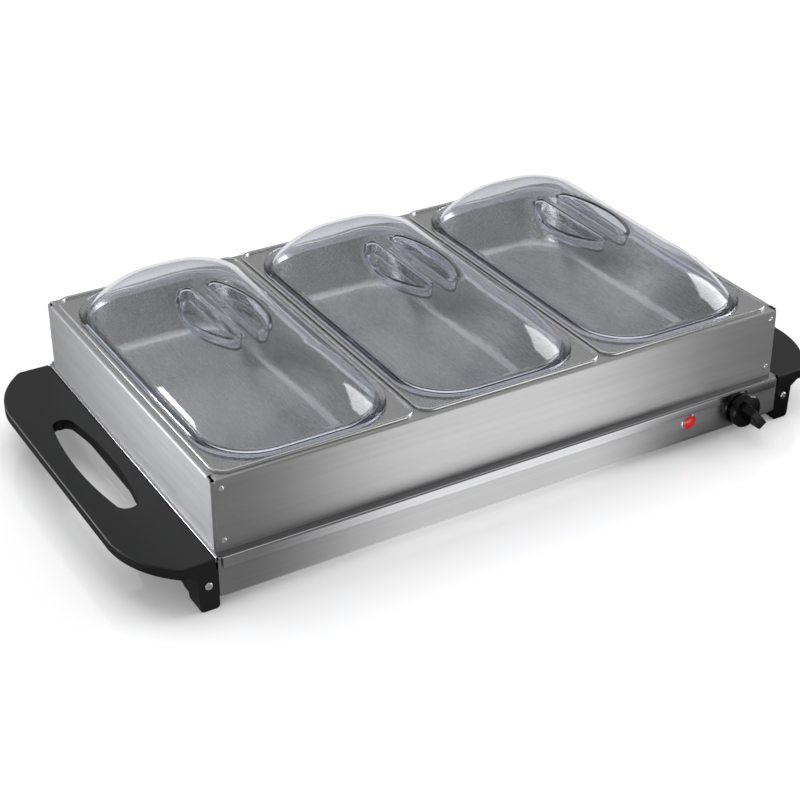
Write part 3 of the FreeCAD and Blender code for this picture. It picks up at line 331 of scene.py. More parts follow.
def endTree(tree, source, geometry):
    plain = addNode(tree, "GeometryNodeRealizeInstances", (900, 0))
    paint = addNode(tree, "GeometryNodeSetMaterial", (1100, 0))
    out = addNode(tree, "NodeGroupOutput", (1300, 0))
    tree.links.new(geometry, plain.inputs["Geometry"])
    tree.links.new(plain.outputs["Geometry"], paint.inputs["Geometry"])
    tree.links.new(source.outputs["Finish"], paint.inputs["Material"])
    tree.links.new(paint.outputs["Geometry"], out.inputs[0])
    return tree


def joinUp(tree, *parts):
    joint = addNode(tree, "GeometryNodeJoinGeometry", (500, 0))
    for part in parts:
        tree.links.new(part, joint.inputs[0])
    return joint.outputs[0]


def moved(tree, geometry, offset, turn=None):
    node = addNode(tree, "GeometryNodeTransform", (100, 0))
    tree.links.new(geometry, node.inputs["Geometry"])
    tree.links.new(offset, node.inputs["Translation"])
    if turn:
        node.inputs["Rotation"].default_value = turn
    return node.outputs["Geometry"]


def grow(name, points, tree, values, finish, outward=None):
    mesh = bpy.data.meshes.new(name + "Seed")
    mesh.from_pydata(points, [], [])
    if outward:
        directions = mesh.attributes.new("outward", "FLOAT_VECTOR", "POINT")
        for item, direction in zip(directions.data, outward):
            item.vector = direction
    seed = addObject(name + "Seed", mesh)
    modifier = seed.modifiers.new("grow", "NODES")
    modifier.node_group = tree
    for socket in tree.interface.items_tree:
        if socket.in_out == "INPUT" and socket.name in values:
            modifier[socket.identifier] = values[socket.name]
        if socket.name == "Finish":
            modifier[socket.identifier] = finish
    bpy.context.view_layer.update()
    made = bpy.data.meshes.new_from_object(seed.evaluated_get(bpy.context.evaluated_depsgraph_get()))
    bpy.data.objects.remove(seed)
    made.name = name
    return addObject(name, made)


def closeAndSmooth(piece, weld=0.000001, sharpFrom=None, fill=False):
    work = bmesh.new()
    work.from_mesh(piece.data)
    bmesh.ops.remove_doubles(work, verts=work.verts, dist=weld)
    if fill:
        bmesh.ops.holes_fill(work, edges=[edge for edge in work.edges if len(edge.link_faces) == 1])
    if sharpFrom:
        bmesh.ops.recalc_face_normals(work, faces=work.faces)
    loose = sum(1 for edge in work.edges if len(edge.link_faces) != 2)
    work.to_mesh(piece.data)
    work.free()
    for polygon in piece.data.polygons:
        polygon.use_smooth = True
    if sharpFrom:
        piece.data.set_sharp_from_angle(angle=math.radians(sharpFrom))
    print(piece.name, len(piece.data.polygons), "faces,", loose, "open edges")


def settle(piece, node, body):
    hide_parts(node)
    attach(piece, body)


# Screws and rivets: a domed head turned by rule, a shank, and a cross or a mandrel's hole cut in

screwSizes = {"Head Radius": 0.0033, "Head Height": 0.0021, "Head Roundness": 0.55, "Shank Radius": 0.0017,
              "Shank Length": 0.009, "Cross Reach": 0.0018, "Cross Width": 0.0007, "Cross Depth": 0.0011,
              "Turn Seed": 4}
rivetSizes = {"Head Radius": 0.00232, "Head Height": 0.0011, "Head Roundness": 0.8, "Shank Radius": 0.00155,
              "Shank Length": 0.0020, "Hole Radius": 0.0007, "Hole Depth": 0.0006, "Upset Radius": 0.0023,
              "Upset Length": 0.0016, "Turn Seed": 4}
overlap = 0.0001  # how far a shank runs into its head, and a hole's tool past the crown


def turnedHead(tree, source, around=36, levels=12):
    calc = calculator(tree)
    grid = addNode(tree, "GeometryNodeMeshGrid", (-1300, 300))
    setInputs(grid, {"Vertices X": around + 1, "Vertices Y": levels})
    number = addNode(tree, "GeometryNodeInputIndex", (-1500, 300)).outputs[0]
    column = calc("FLOOR", calc("DIVIDE", number, levels))
    row = calc("SUBTRACT", number, calc("MULTIPLY", column, levels))
    angle = calc("MULTIPLY", column, 2 * math.pi / around)
    climb = calc("MULTIPLY", calc("MINIMUM", calc("DIVIDE", row, levels - 2), 1.0), math.pi / 2)
    onSkin = calc("LESS_THAN", row, levels - 1.5)  # the last row closes the underside
    roundness = source.outputs["Head Roundness"]
    wide = calc("POWER", calc("MAXIMUM", calc("SINE", climb), 0.0), roundness)
    high = calc("POWER", calc("MAXIMUM", calc("COSINE", climb), 0.0), roundness)
    reach = calc("MULTIPLY", calc("MULTIPLY", wide, onSkin), source.outputs["Head Radius"])
    height = calc("MULTIPLY", calc("MULTIPLY", high, onSkin), source.outputs["Head Height"])
    place = addNode(tree, "GeometryNodeSetPosition", (-300, 300))
    tree.links.new(grid.outputs["Mesh"], place.inputs["Geometry"])
    tree.links.new(vectorOf(tree, calc("MULTIPLY", reach, calc("COSINE", angle)),
                            calc("MULTIPLY", reach, calc("SINE", angle)), height), place.inputs["Position"])
    merge = addNode(tree, "GeometryNodeMergeByDistance", (-100, 300))
    merge.inputs["Distance"].default_value = 0.000002
    tree.links.new(place.outputs["Geometry"], merge.inputs["Geometry"])
    return merge.outputs["Geometry"]


def barOf(tree, radius, length, top):
    bar = addNode(tree, "GeometryNodeMeshCylinder", (-300, -300))
    bar.inputs["Vertices"].default_value = 28
    tree.links.new(radius, bar.inputs["Radius"])
    tree.links.new(length, bar.inputs["Depth"])
    middle = mathNode(tree, "SUBTRACT", top, mathNode(tree, "MULTIPLY", length, 0.5))
    return moved(tree, bar.outputs["Mesh"], vectorOf(tree, 0, 0, middle))


def cutAway(tree, body, tools):
    cut = addNode(tree, "GeometryNodeMeshBoolean", (300, 0), operation="DIFFERENCE", solver="EXACT")
    tree.links.new(body, cut.inputs[0])
    for tool in tools:
        tree.links.new(tool, cut.inputs[1])
    return cut.outputs[0]


def onSeats(tree, source, piece):
    spread = addNode(tree, "GeometryNodeInstanceOnPoints", (500, 0))
    facing = addNode(tree, "GeometryNodeInputNamedAttribute", (100, -300), data_type="FLOAT_VECTOR")
    facing.inputs["Name"].default_value = "outward"
    aim = addNode(tree, "FunctionNodeAlignRotationToVector", (300, -300), axis="Z")
    tree.links.new(facing.outputs["Attribute"], aim.inputs["Vector"])
    tree.links.new(source.outputs["Seed"], spread.inputs["Points"])
    tree.links.new(piece, spread.inputs["Instance"])
    tree.links.new(aim.outputs["Rotation"], spread.inputs["Rotation"])
    chance = addNode(tree, "FunctionNodeRandomValue", (500, -300), data_type="FLOAT")
    chance.inputs[3].default_value = 2 * math.pi
    tree.links.new(source.outputs["Turn Seed"], chance.inputs["Seed"])
    turn = addNode(tree, "GeometryNodeRotateInstances", (700, 0))
    tree.links.new(spread.outputs["Instances"], turn.inputs["Instances"])
    tree.links.new(vectorOf(tree, 0, 0, chance.outputs[1]), turn.inputs["Rotation"])
    return turn.outputs["Instances"]


def crossScrewTree():
    tree, source = newTree("crossScrews", screwSizes)
    tools = []
    armHeight = 0.004
    floor = mathNode(tree, "SUBTRACT", source.outputs["Head Height"], source.outputs["Cross Depth"])
    for turn, arms in ((0, 2.001), (math.pi / 2, 2.0)):  # unequal arms, so that no faces coincide
        arm = addNode(tree, "GeometryNodeMeshCube", (-300, -600))
        reach = mathNode(tree, "MULTIPLY", source.outputs["Cross Reach"], arms)
        tree.links.new(vectorOf(tree, reach, source.outputs["Cross Width"], armHeight), arm.inputs["Size"])
        middle = vectorOf(tree, 0, 0, mathNode(tree, "ADD", floor, armHeight / 2))
        tools.append(moved(tree, arm.outputs["Mesh"], middle, (0, 0, turn)))
    head = cutAway(tree, turnedHead(tree, source), tools)
    shank = barOf(tree, source.outputs["Shank Radius"], source.outputs["Shank Length"], overlap)
    return endTree(tree, source, onSeats(tree, source, joinUp(tree, head, shank)))


def blindRivetTree():
    tree, source = newTree("blindRivets", rivetSizes)
    crown = mathNode(tree, "ADD", source.outputs["Head Height"], overlap)
    bore = barOf(tree, source.outputs["Hole Radius"], source.outputs["Hole Depth"], crown)
    head = cutAway(tree, turnedHead(tree, source), [bore])
    shank = barOf(tree, source.outputs["Shank Radius"], source.outputs["Shank Length"], overlap)
    foot = mathNode(tree, "MULTIPLY", source.outputs["Shank Length"], -1.0)
    upset = barOf(tree, source.outputs["Upset Radius"], source.outputs["Upset Length"], foot)
    return endTree(tree, source, onSeats(tree, source, joinUp(tree, head, shank, upset)))


fixings = dict(rivetX=0.260, rivetLow=0.054, rivetHigh=0.100, legX=0.2778, legHeight=0.023, sideX=0.268,
               sideY=0.110, sideHeight=0.024, coverX=(-0.200, 0.0, 0.140), coverY=0.1655, coverEndX=0.2618,
               coverUnder=0.0082, sharpFrom=32)
frontFace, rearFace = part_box("frame_front_panel")[0].y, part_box("frame_rear_panel")[1].y
baseFront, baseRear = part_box("base_front_panel")[0].y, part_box("base_rear_panel")[1].y
middleY = (baseFront + baseRear) / 2
screwTree, rivetTree = crossScrewTree(), blindRivetTree()


def placeFixings(name, node, body, tree, seats, finish, values):
    piece = grow(name, [seat[:3] for seat in seats], tree, values, finishes[finish],
                 [seat[3:] for seat in seats])
    closeAndSmooth(piece, sharpFrom=fixings["sharpFrom"])
    settle(piece, node, body)


# A seat is a place and the direction that its head faces
rivetSeats = [(x * fixings["rivetX"], y, z, 0, side, 0) for y, side in ((frontFace, -1), (rearFace, 1))
              for x in sides for z in (fixings["rivetLow"], fixings["rivetHigh"])]
legSeats = [(x * fixings["legX"], y, fixings["legHeight"], 0, side, 0)
            for y, side in ((baseFront, -1), (baseRear, 1)) for x in sides]
sideSeats = [(side * fixings["sideX"], middleY + y * fixings["sideY"], fixings["sideHeight"], -side, 0, 0)
             for side in sides for y in sides]
coverSeats = [(x, middleY + side * fixings["coverY"], fixings["coverUnder"], 0, 0, -1) for side in sides
              for x in fixings["coverX"]]
coverSeats += [(side * fixings["coverEndX"], middleY, fixings["coverUnder"], 0, 0, -1) for side in sides]
placeFixings("frame_rivets_turned", "frame_rivets", "frame", rivetTree, rivetSeats, "rivet",
             rivetSizes)
for name, node, seats, values in (
        ("leg_screws_turned", "handle_screws", legSeats, {"Turn Seed": 7}),
        ("side_screws_turned", "handle_side_screws", sideSeats, {"Turn Seed": 2}),
        ("cover_screws_turned", "bottom_cover_screws", coverSeats,
         {"Shank Radius": 0.0016, "Shank Length": 0.006, "Turn Seed": 5})):
    placeFixings(name, node, "base", screwTree, seats, "screw", values)
print("screws and rivets made")


# Pans: one section carried round a rounded rectangle, so that corner and inset follow one rule

panForm = dict(halfX=0.08675, halfY=0.1625, rimCorner=13.0, mouthInset=11.3, mouthCorner=45.0, shelf=108.8,
               under=108.0, depth=54.0, draft=6.0, sheet=0.8, floorRound=9.0, floorRows=(12, 4),
               beadHeight=2.2, beadWidth=3.2, beadRound=1.4, edgeBreak=0.3, lipRound=0.7, cornerSteps=14,
               sharpFrom=40)


def sweptTree():
    tree, source = newTree("sweptSection", {"Half Width": 0.08, "Half Length": 0.16, "Corner Steps": 12,
                                            "Centre X": 0.0, "Centre Y": 0.0})
    count = addNode(tree, "GeometryNodeAttributeDomainSize", (-1500, 200))
    tree.links.new(source.outputs["Seed"], count.inputs["Geometry"])
    levels = count.outputs["Point Count"]
    calc = calculator(tree)
    perCorner = calc("ADD", source.outputs["Corner Steps"], 1.0)
    grid = addNode(tree, "GeometryNodeMeshGrid", (-1200, 300))
    tree.links.new(calc("ADD", calc("MULTIPLY", perCorner, 4.0), 1.0), grid.inputs["Vertices X"])
    tree.links.new(levels, grid.inputs["Vertices Y"])
    number = addNode(tree, "GeometryNodeInputIndex", (-1500, -100)).outputs[0]
    column = calc("FLOOR", calc("DIVIDE", number, levels))
    row = calc("SUBTRACT", number, calc("MULTIPLY", column, levels))
    corner = calc("FLOOR", calc("DIVIDE", calc("ADD", column, 0.01), perCorner))
    step = calc("SUBTRACT", column, calc("MULTIPLY", corner, perCorner))
    share = calc("DIVIDE", step, source.outputs["Corner Steps"])
    angle = calc("MULTIPLY", calc("ADD", corner, share), math.pi / 2)
    towards = calc("MULTIPLY", calc("ADD", corner, 0.5), math.pi / 2)
    seen = addNode(tree, "GeometryNodeSampleIndex", (-900, -300), data_type="FLOAT_VECTOR", domain="POINT")
    tree.links.new(source.outputs["Seed"], seen.inputs["Geometry"])
    position = addNode(tree, "GeometryNodeInputPosition", (-1100, -400))
    tree.links.new(position.outputs[0], seen.inputs["Value"])
    tree.links.new(row, seen.inputs["Index"])
    section = addNode(tree, "ShaderNodeSeparateXYZ", (-700, -300))
    tree.links.new(seen.outputs[0], section.inputs[0])
    inset, bend, height = section.outputs
    coordinates = []
    for half, turn, centre in (("Half Width", "COSINE", "Centre X"), ("Half Length", "SINE", "Centre Y")):
        middle = calc("SUBTRACT", calc("SUBTRACT", source.outputs[half], inset), bend)
        placed = calc("MULTIPLY", calc("SIGN", calc(turn, towards)), middle)
        placed = calc("ADD", placed, calc("MULTIPLY", calc(turn, angle), bend))
        coordinates.append(calc("ADD", placed, source.outputs[centre]))
    place = addNode(tree, "GeometryNodeSetPosition", (300, 300))
    tree.links.new(grid.outputs["Mesh"], place.inputs["Geometry"])
    tree.links.new(vectorOf(tree, *coordinates, height), place.inputs["Position"])
    return endTree(tree, source, place.outputs["Geometry"])


def arcPoints(centreX, centreZ, radius, start, end, steps):
    return [(centreX + radius * math.cos(math.radians(start + (end - start) * step / steps)),
             centreZ + radius * math.sin(math.radians(start + (end - start) * step / steps)))
            for step in range(steps + 1)]


def panSection():
    form = panForm
    floor = form["shelf"] - form["depth"]
    crest = form["shelf"] + form["beadHeight"]
    lean = math.degrees(math.atan2(form["draft"], form["depth"]))

    def wallInset(z):
        return form["mouthInset"] + form["draft"] * (form["shelf"] - z) / form["depth"]

    def well(sheet):
        radius = form["floorRound"] + sheet
        low = floor - sheet
        slide = radius * (1 + math.sin(math.radians(lean))) / math.cos(math.radians(lean))
        centre = wallInset(low) - sheet / math.cos(math.radians(lean)) + slide
        arc = arcPoints(centre, low + radius, radius, 270, 180 + lean, 10)
        return [(centre + inward, low) for inward in form["floorRows"]] + arc

    inner = well(0.0)
    outer = well(form["sheet"])
    lip = form["lipRound"]
    lipTurn = arcPoints(form["mouthInset"] - lip, form["shelf"] - lip, lip, lean * 0.5, 90, 5)
    bead = form["beadRound"]
    small = form["edgeBreak"]
    rim = [(form["beadWidth"] + small, form["shelf"]), (form["beadWidth"], form["shelf"] + small)]
    rim += arcPoints(form["beadWidth"] - bead, crest - bead, bead, 0, 90, 6)
    rim += arcPoints(bead, crest - bead, bead, 90, 180, 6)
    rim += [(0.0, form["under"] + small), (small, form["under"]),
            (form["mouthInset"] - form["sheet"], form["under"])]
    section = inner + lipTurn + rim + outer[::-1]
    seed = []
    for inset, z in section:
        wellCorner = form["mouthCorner"] + form["mouthInset"] - inset
        onRim = inset < form["beadWidth"] + 0.5
        seed.append((inset * millimetre, (form["rimCorner"] - inset if onRim else wellCorner) * millimetre,
                     z * millimetre))
    return seed


sectionTree = sweptTree()
for place in bays:
    low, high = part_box("pan_" + place)
    pan = grow("pan_%s_drawn" % place, panSection(), sectionTree,
               {"Half Width": panForm["halfX"], "Half Length": panForm["halfY"],
                "Corner Steps": panForm["cornerSteps"],
                "Centre X": (low.x + high.x) / 2, "Centre Y": (low.y + high.y) / 2}, finishes["pan"])
    closeAndSmooth(pan, sharpFrom=panForm["sharpFrom"], fill=True)
    settle(pan, "pan_" + place, "pan_" + place)
print("pans made")


# Clear lids: one closed skin, outside down to the rim, round it and back up inside

lidForm = dict(domeRise=38.0, domePower=3.1, domeTop=152.0, domeCorner=46.0, cornerShare=0.85, footX=74.65,
               footY=150.4, endRatio=1.12, wall=2.4, rimX=81.45, rimY=157.2, rimCorner=50.0, rimTop=111.3,
               rimUnder=108.85, skirtX=74.15, skirtY=149.9, skirtCorner=43.7, skirtFoot=103.3,
               gripHalf=8.0, wellReach=31.0, wellLength=58.0, wellCorner=5.0, wellFloor=140.0, wellTop=154.0,
               wellWall=1.92, wellSlope=1 / 6, edgeSlope=0.4, mouthRound=0.7, innerRound=1.2, floorRound=1.0,
               gateRadius=1.9, gateDepth=0.55, gateRings=(2.3, 1.9, 1.45, 1.0, 0.5), joinShare=0.52)
lidMesh = dict(domeRings=16, edgeSteps=40, cornerSteps=8, sweepSteps=56, gateSteps=24, capSpacing=(2.6, 4.0),
               capClear=1.7, weld=0.00002)


def ringPoints(halfX, halfY, corner, height, arcSteps=14, sideSteps=26, endSteps=12):
    points = []
    corners = ((1, 1, 0), (-1, 1, 90), (-1, -1, 180), (1, -1, 270))
    for signX, signY, start in corners:
        centreX, centreY = signX * (halfX - corner), signY * (halfY - corner)
        for step in range(arcSteps + 1):
            angle = math.radians(start + 90 * step / arcSteps)
            points.append((centreX + corner * math.cos(angle), centreY + corner * math.sin(angle), height))
        steps = endSteps if start in (0, 180) else sideSteps
        last = points[-1]
        nextX, nextY, nextStart = corners[(start // 90 + 1) % 4]
        nextAngle = math.radians(nextStart)
        target = (nextX * (halfX - corner) + corner * math.cos(nextAngle),
                  nextY * (halfY - corner) + corner * math.sin(nextAngle))
        for step in range(1, steps):
            share = step / steps
            points.append((last[0] + (target[0] - last[0]) * share, last[1] + (target[1] - last[1]) * share,
                           height))
    return points


def domeSizes(share):
    form = lidForm
    halfX = form["footX"] * share
    halfY = form["footY"] - (form["footX"] - halfX) * form["endRatio"]
    corner = min(form["domeCorner"] * math.sqrt(share), form["cornerShare"] * halfX)
    return halfX, halfY, corner, form["domeTop"] - form["domeRise"] * share ** form["domePower"]


def domeRing(share, wall=0.0):
    halfX, halfY, corner, height = domeSizes(share)
    fall = lidForm["domeRise"] * lidForm["domePower"] * share ** (lidForm["domePower"] - 1)
    steep = math.hypot(fall, lidForm["footX"])
    inward = wall * fall / steep
    return ringPoints(halfX - inward, halfY - inward, corner - inward,
                      height - wall * lidForm["footX"] / steep)


def domeHeight(x, y):
    low, high = 0.0, 1.0
    for step in range(26):
        share = (low + high) / 2
        halfX, halfY, corner, height = domeSizes(share)
        overX, overY = abs(x) - halfX + corner, abs(y) - halfY + corner
        outside = math.hypot(max(overX, 0), max(overY, 0)) + min(max(overX, overY), 0) - corner
        if outside > 0:
            low = share
        else:
            high = share
    return domeSizes(high)[3]


def innerHeight(x, y):
    wall, small = lidForm["wall"], 0.5
    atX, atY = x, y
    for step in range(4):
        slopeX = (domeHeight(atX + small, atY) - domeHeight(atX - small, atY)) / (2 * small)
        slopeY = (domeHeight(atX, atY + small) - domeHeight(atX, atY - small)) / (2 * small)
        steep = math.sqrt(1 + slopeX ** 2 + slopeY ** 2)
        atX, atY = x - wall * slopeX / steep, y - wall * slopeY / steep
    return domeHeight(atX, atY) - wall / steep


def wellOutline(side, grow, height):
    form = lidForm
    slope = form["wellSlope"] * (form["wellTop"] - height)
    edge = form["gripHalf"] - grow + form["edgeSlope"] * slope
    corner = max(form["wellCorner"] + grow - slope, 0.5)
    sag = form["wellReach"] - form["gripHalf"]
    radius = (form["wellLength"] ** 2 + sag * sag) / (2 * sag)
    centre = form["wellReach"] - radius
    radius += grow - slope
    offset = edge + corner - centre
    rise = math.sqrt((radius - corner) ** 2 - offset ** 2)
    tip = math.atan2(rise, offset)
    edgeSteps, cornerSteps, sweepSteps = (lidMesh[key] for key in ("edgeSteps", "cornerSteps", "sweepSteps"))
    points = [(edge, rise - 2 * rise * step / edgeSteps) for step in range(edgeSteps)]

    def addCorner(start, middle):
        for step in range(cornerSteps):
            angle = start + (math.pi - tip) * step / cornerSteps
            points.append((centre + offset + corner * math.cos(angle), middle + corner * math.sin(angle)))

    addCorner(math.pi, -rise)
    for step in range(sweepSteps):
        angle = -tip + 2 * tip * step / sweepSteps
        points.append((centre + radius * math.cos(angle), radius * math.sin(angle)))
    addCorner(tip, rise)
    if side < 0:
        points = [(-x, y) for x, y in reversed(points)]
    return points


def insideLoop(x, y, loop):
    inside = False
    for first, second in zip(loop, loop[1:] + loop[:1]):
        if (first[1] > y) != (second[1] > y):
            if x < first[0] + (y - first[1]) * (second[0] - first[0]) / (second[1] - first[1]):
                inside = not inside
    return inside


def nearLoop(x, y, loop):
    nearest = math.inf
    for first, second in zip(loop, loop[1:] + loop[:1]):
        alongX, alongY = second[0] - first[0], second[1] - first[1]
        share = ((x - first[0]) * alongX + (y - first[1]) * alongY) / (alongX ** 2 + alongY ** 2)
        share = min(max(share, 0), 1)
        nearest = min(nearest, math.hypot(x - first[0] - alongX * share, y - first[1] - alongY * share))
    return nearest


def capFaces(rim, holes, heightAt, upwards, extra=()):
    flat = []
    edges = []
    for loop in (rim, *holes, *extra):
        start = len(flat)
        flat.extend(Vector(point[:2]) for point in loop)
        edges.extend((start + step, start + (step + 1) % len(loop)) for step in range(len(loop)))
    reachX = max(point[0] for point in rim)
    reachY = max(point[1] for point in rim)
    countX, countY = (int(reach / gap) for reach, gap in zip((reachX, reachY), lidMesh["capSpacing"]))
    for column in range(-countX, countX + 1):
        for row in range(-countY, countY + 1):
            x, y = reachX * column / countX, reachY * (row + 0.5 * (column % 2)) / countY
            if not insideLoop(x, y, rim) or any(insideLoop(x, y, hole) for hole in holes):
                continue
            if min(nearLoop(x, y, loop) for loop in (rim, *holes, *extra)) > lidMesh["capClear"]:
                flat.append(Vector((x, y)))
    points, madeEdges, faces = delaunay_2d_cdt(flat, edges, [], 0, 1e-5)[:3]
    kept = []
    for face in faces:
        midX = sum(points[corner].x for corner in face) / 3
        midY = sum(points[corner].y for corner in face) / 3
        if insideLoop(midX, midY, rim) and not any(insideLoop(midX, midY, hole) for hole in holes):
            first, second, third = (points[corner] for corner in face)
            turn = (second - first).cross(third - first)
            kept.append(tuple(face) if (turn > 0) == upwards else tuple(reversed(face)))
    return [(point.x, point.y, heightAt(point.x, point.y)) for point in points], kept


class Skin:
    def __init__(self):
        self.points = []
        self.faces = []

    def add(self, points, faces):
        start = len(self.points)
        self.points.extend(points)
        self.faces.extend(tuple(start + corner for corner in face) for face in faces)

    def strips(self, rings):
        count = len(rings[0])
        faces = [(level * count + step, (level + 1) * count + step,
                  (level + 1) * count + (step + 1) % count, level * count + (step + 1) % count)
                 for level in range(len(rings) - 1) for step in range(count)]
        self.add([point for ring in rings for point in ring], faces)


def wellRings(side, grow, roundness, floorHeight, heightAt):
    rings = []
    for step in range(4):
        angle = math.radians(30 * step)
        ring = wellOutline(side, grow + roundness * (1 - math.sin(angle)), lidForm["domeTop"])
        rings.append([(x, y, heightAt(x, y) - roundness * (1 - math.cos(angle))) for x, y in ring])
    floorRound = lidForm["floorRound"]
    base = floorHeight + floorRound
    mouth = rings[-1]
    for share in (0.35, 0.7):
        ring = wellOutline(side, grow, lidForm["domeTop"] + (base - lidForm["domeTop"]) * share)
        rings.append([(x, y, above[2] + (base - above[2]) * share) for (x, y), above in zip(ring, mouth)])
    for step in range(5):
        angle = math.radians(22.5 * step)
        height = base - floorRound * math.sin(angle)
        ring = wellOutline(side, grow - floorRound * (1 - math.cos(angle)), base)
        rings.append([(x, y, height) for x, y in ring])
    ring = wellOutline(side, grow - floorRound - 0.5, base)
    rings.append([(x, y, floorHeight) for x, y in ring])
    return rings


def makeLid(name, centreX, centreY):
    form = lidForm
    skin = Skin()
    join, count = form["joinShare"], lidMesh["domeRings"]
    shares = [join + (1 - join) * math.sin(math.radians(90 * step / count)) for step in range(count + 1)]
    outside = [domeRing(share) for share in shares]
    footX, footY, footCorner, footHeight = domeSizes(1.0)
    rimTop, rimUnder, skirtFoot = form["rimTop"], form["rimUnder"], form["skirtFoot"]

    def addRings(sizes, profile):
        for out, height in profile:
            outside.append(ringPoints(*(size + out for size in sizes), height))

    addRings((footX, footY, footCorner),
             ((0.0, footHeight - 1.2), (0.08, footHeight - 1.9), (0.3, footHeight - 2.35),
              (0.65, footHeight - 2.62), (1.1, rimTop)))
    addRings((form["rimX"], form["rimY"], form["rimCorner"]),
             ((-2.4, rimTop), (-0.8, rimTop), (-0.4, rimTop - 0.11), (-0.1, rimTop - 0.4),
              (0.0, rimTop - 0.8), (0.0, rimUnder + 0.4), (-0.12, rimUnder + 0.12), (-0.4, rimUnder)))
    addRings((form["skirtX"], form["skirtY"], form["skirtCorner"]),
             ((0.5, rimUnder), (0.12, rimUnder - 0.12), (0.0, rimUnder - 0.5), (0.0, skirtFoot + 0.5),
              (-0.15, skirtFoot + 0.15), (-0.5, skirtFoot)))
    inner = domeRing(1.0, form["wall"])
    innerX, innerY = max(p[0] for p in inner), max(p[1] for p in inner)
    addRings((innerX, innerY, form["domeCorner"] - (footX - innerX)),
             ((0.4, skirtFoot), (0.12, skirtFoot + 0.12), (0.0, skirtFoot + 0.4), (0.0, footHeight - 3.4)))
    inside = [domeRing(share, form["wall"]) for share in reversed(shares)]
    skin.strips(outside + inside)

    def topHeight(x, y):
        away = math.hypot(x, y) / form["gateRadius"]
        dimple = form["gateDepth"] * (1 - away * away) ** 2 if away < 1 else 0.0
        return domeHeight(x, y) - dimple

    gateAngles = [2 * math.pi * step / lidMesh["gateSteps"] for step in range(lidMesh["gateSteps"])]
    gateLoops = [[(radius * math.cos(angle), radius * math.sin(angle)) for angle in gateAngles]
                 for radius in form["gateRings"]]
    wellFloor, wellWall = form["wellFloor"], form["wellWall"]
    mouthRound, innerRound = form["mouthRound"], form["innerRound"]
    mouths = [wellOutline(side, mouthRound, form["domeTop"]) for side in sides]
    skin.add(*capFaces(outside[0], mouths, topHeight, True, gateLoops))
    innerMouths = [wellOutline(side, wellWall + innerRound, form["domeTop"]) for side in sides]
    skin.add(*capFaces(inside[-1], innerMouths, innerHeight, False))
    for side in sides:
        rings = wellRings(side, 0.0, mouthRound, wellFloor, domeHeight)
        skin.strips(rings[::-1])
        skin.add(rings[-1], [tuple(range(len(rings[-1])))])
        rings = wellRings(side, wellWall, innerRound, wellFloor - wellWall, innerHeight)
        skin.strips(rings)
        skin.add(rings[-1], [tuple(reversed(range(len(rings[-1]))))])
    mesh = bpy.data.meshes.new(name)
    mesh.from_pydata([((x * millimetre + centreX), (y * millimetre + centreY), z * millimetre)
                      for x, y, z in skin.points], [], skin.faces)
    piece = addObject(name, mesh)
    closeAndSmooth(piece, weld=lidMesh["weld"])
    return piece


for place in bays:
    low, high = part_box("lid_" + place)
    lid = makeLid("lid_%s_clear" % place, (low.x + high.x) / 2, (low.y + high.y) / 2)
    lid.data.materials.append(finishes["lid"])
    settle(lid, "lid_" + place, "lid_" + place)
print("lids made")


# Studio: floor, world, lamps and camera

studio = dict(floorSize=12.0, floorColour=(0.84, 0.84, 0.85, 1), floorRough=0.05, floorIor=1.7,
              floorLift=0.14, farLift=0.45, farFrom=(0.7, 2.2), worldLevel=0.72)
# Metal sees a soft pool of light on the floor before the front wall, and one beside the left wall.
# The slants carry a place on the floor along the mirrored view to the wall that shows it.
pools = dict(ends=0.33, middle=1.76, left=(-0.26, -0.08), right=(0.27, 0.10), near=0.12,
             nearFrom=(-0.085, -0.05), nearAlong=(0.06, 0.18), behind=0.9, behindFrom=(0.30, 0.38),
             frontSlant=0.587, sideSlant=1.705, side=(0.20, -0.10), sideRear=0.3, sideFar=0.10,
             sideFarFrom=(-0.10, -0.16), leftFront=(-0.02, 0.02), leftEdge=(0.05, -0.02))
sky = dict(left=0.70, right=0.42, front=0.24, through=0.55, top=0.9, across=(-0.25, 0.25),
           ahead=(0.10, -0.25), above=(0.70, 0.95))
lamps = [
    dict(name="overheadSoftbox", place=(-0.1, 0.5, 2.0), aim=(0, 0, 0), wide=1.8, tall=1.8, power=22.0,
         mirrored=False, through=False),
    dict(name="rightSoftbox", place=(2.3, -0.5, 1.0), aim=(0, -0.15, 0.08), wide=1.5, tall=1.5, power=30.0,
         mirrored=True, through=True),
    dict(name="leftCard", place=(-1.03, 0.71, 0.13), aim=(-0.27, -0.1, 0.08), wide=0.42, tall=0.24,
         power=3.5, mirrored=True, through=False),
]


def stepBetween(tree, source, low, high):
    node = addNode(tree, "ShaderNodeMapRange", (-500, -300), interpolation_type="SMOOTHSTEP")
    setInputs(node, {"From Min": low, "From Max": high})
    tree.links.new(source, node.inputs["Value"])
    return node.outputs["Result"]


def mixNumbers(tree, share, first, second):
    node = addNode(tree, "ShaderNodeMix", (-200, -300), data_type="FLOAT")
    feed(tree, (node.inputs[0], node.inputs[2], node.inputs[3]), (share, first, second))
    return node.outputs[0]


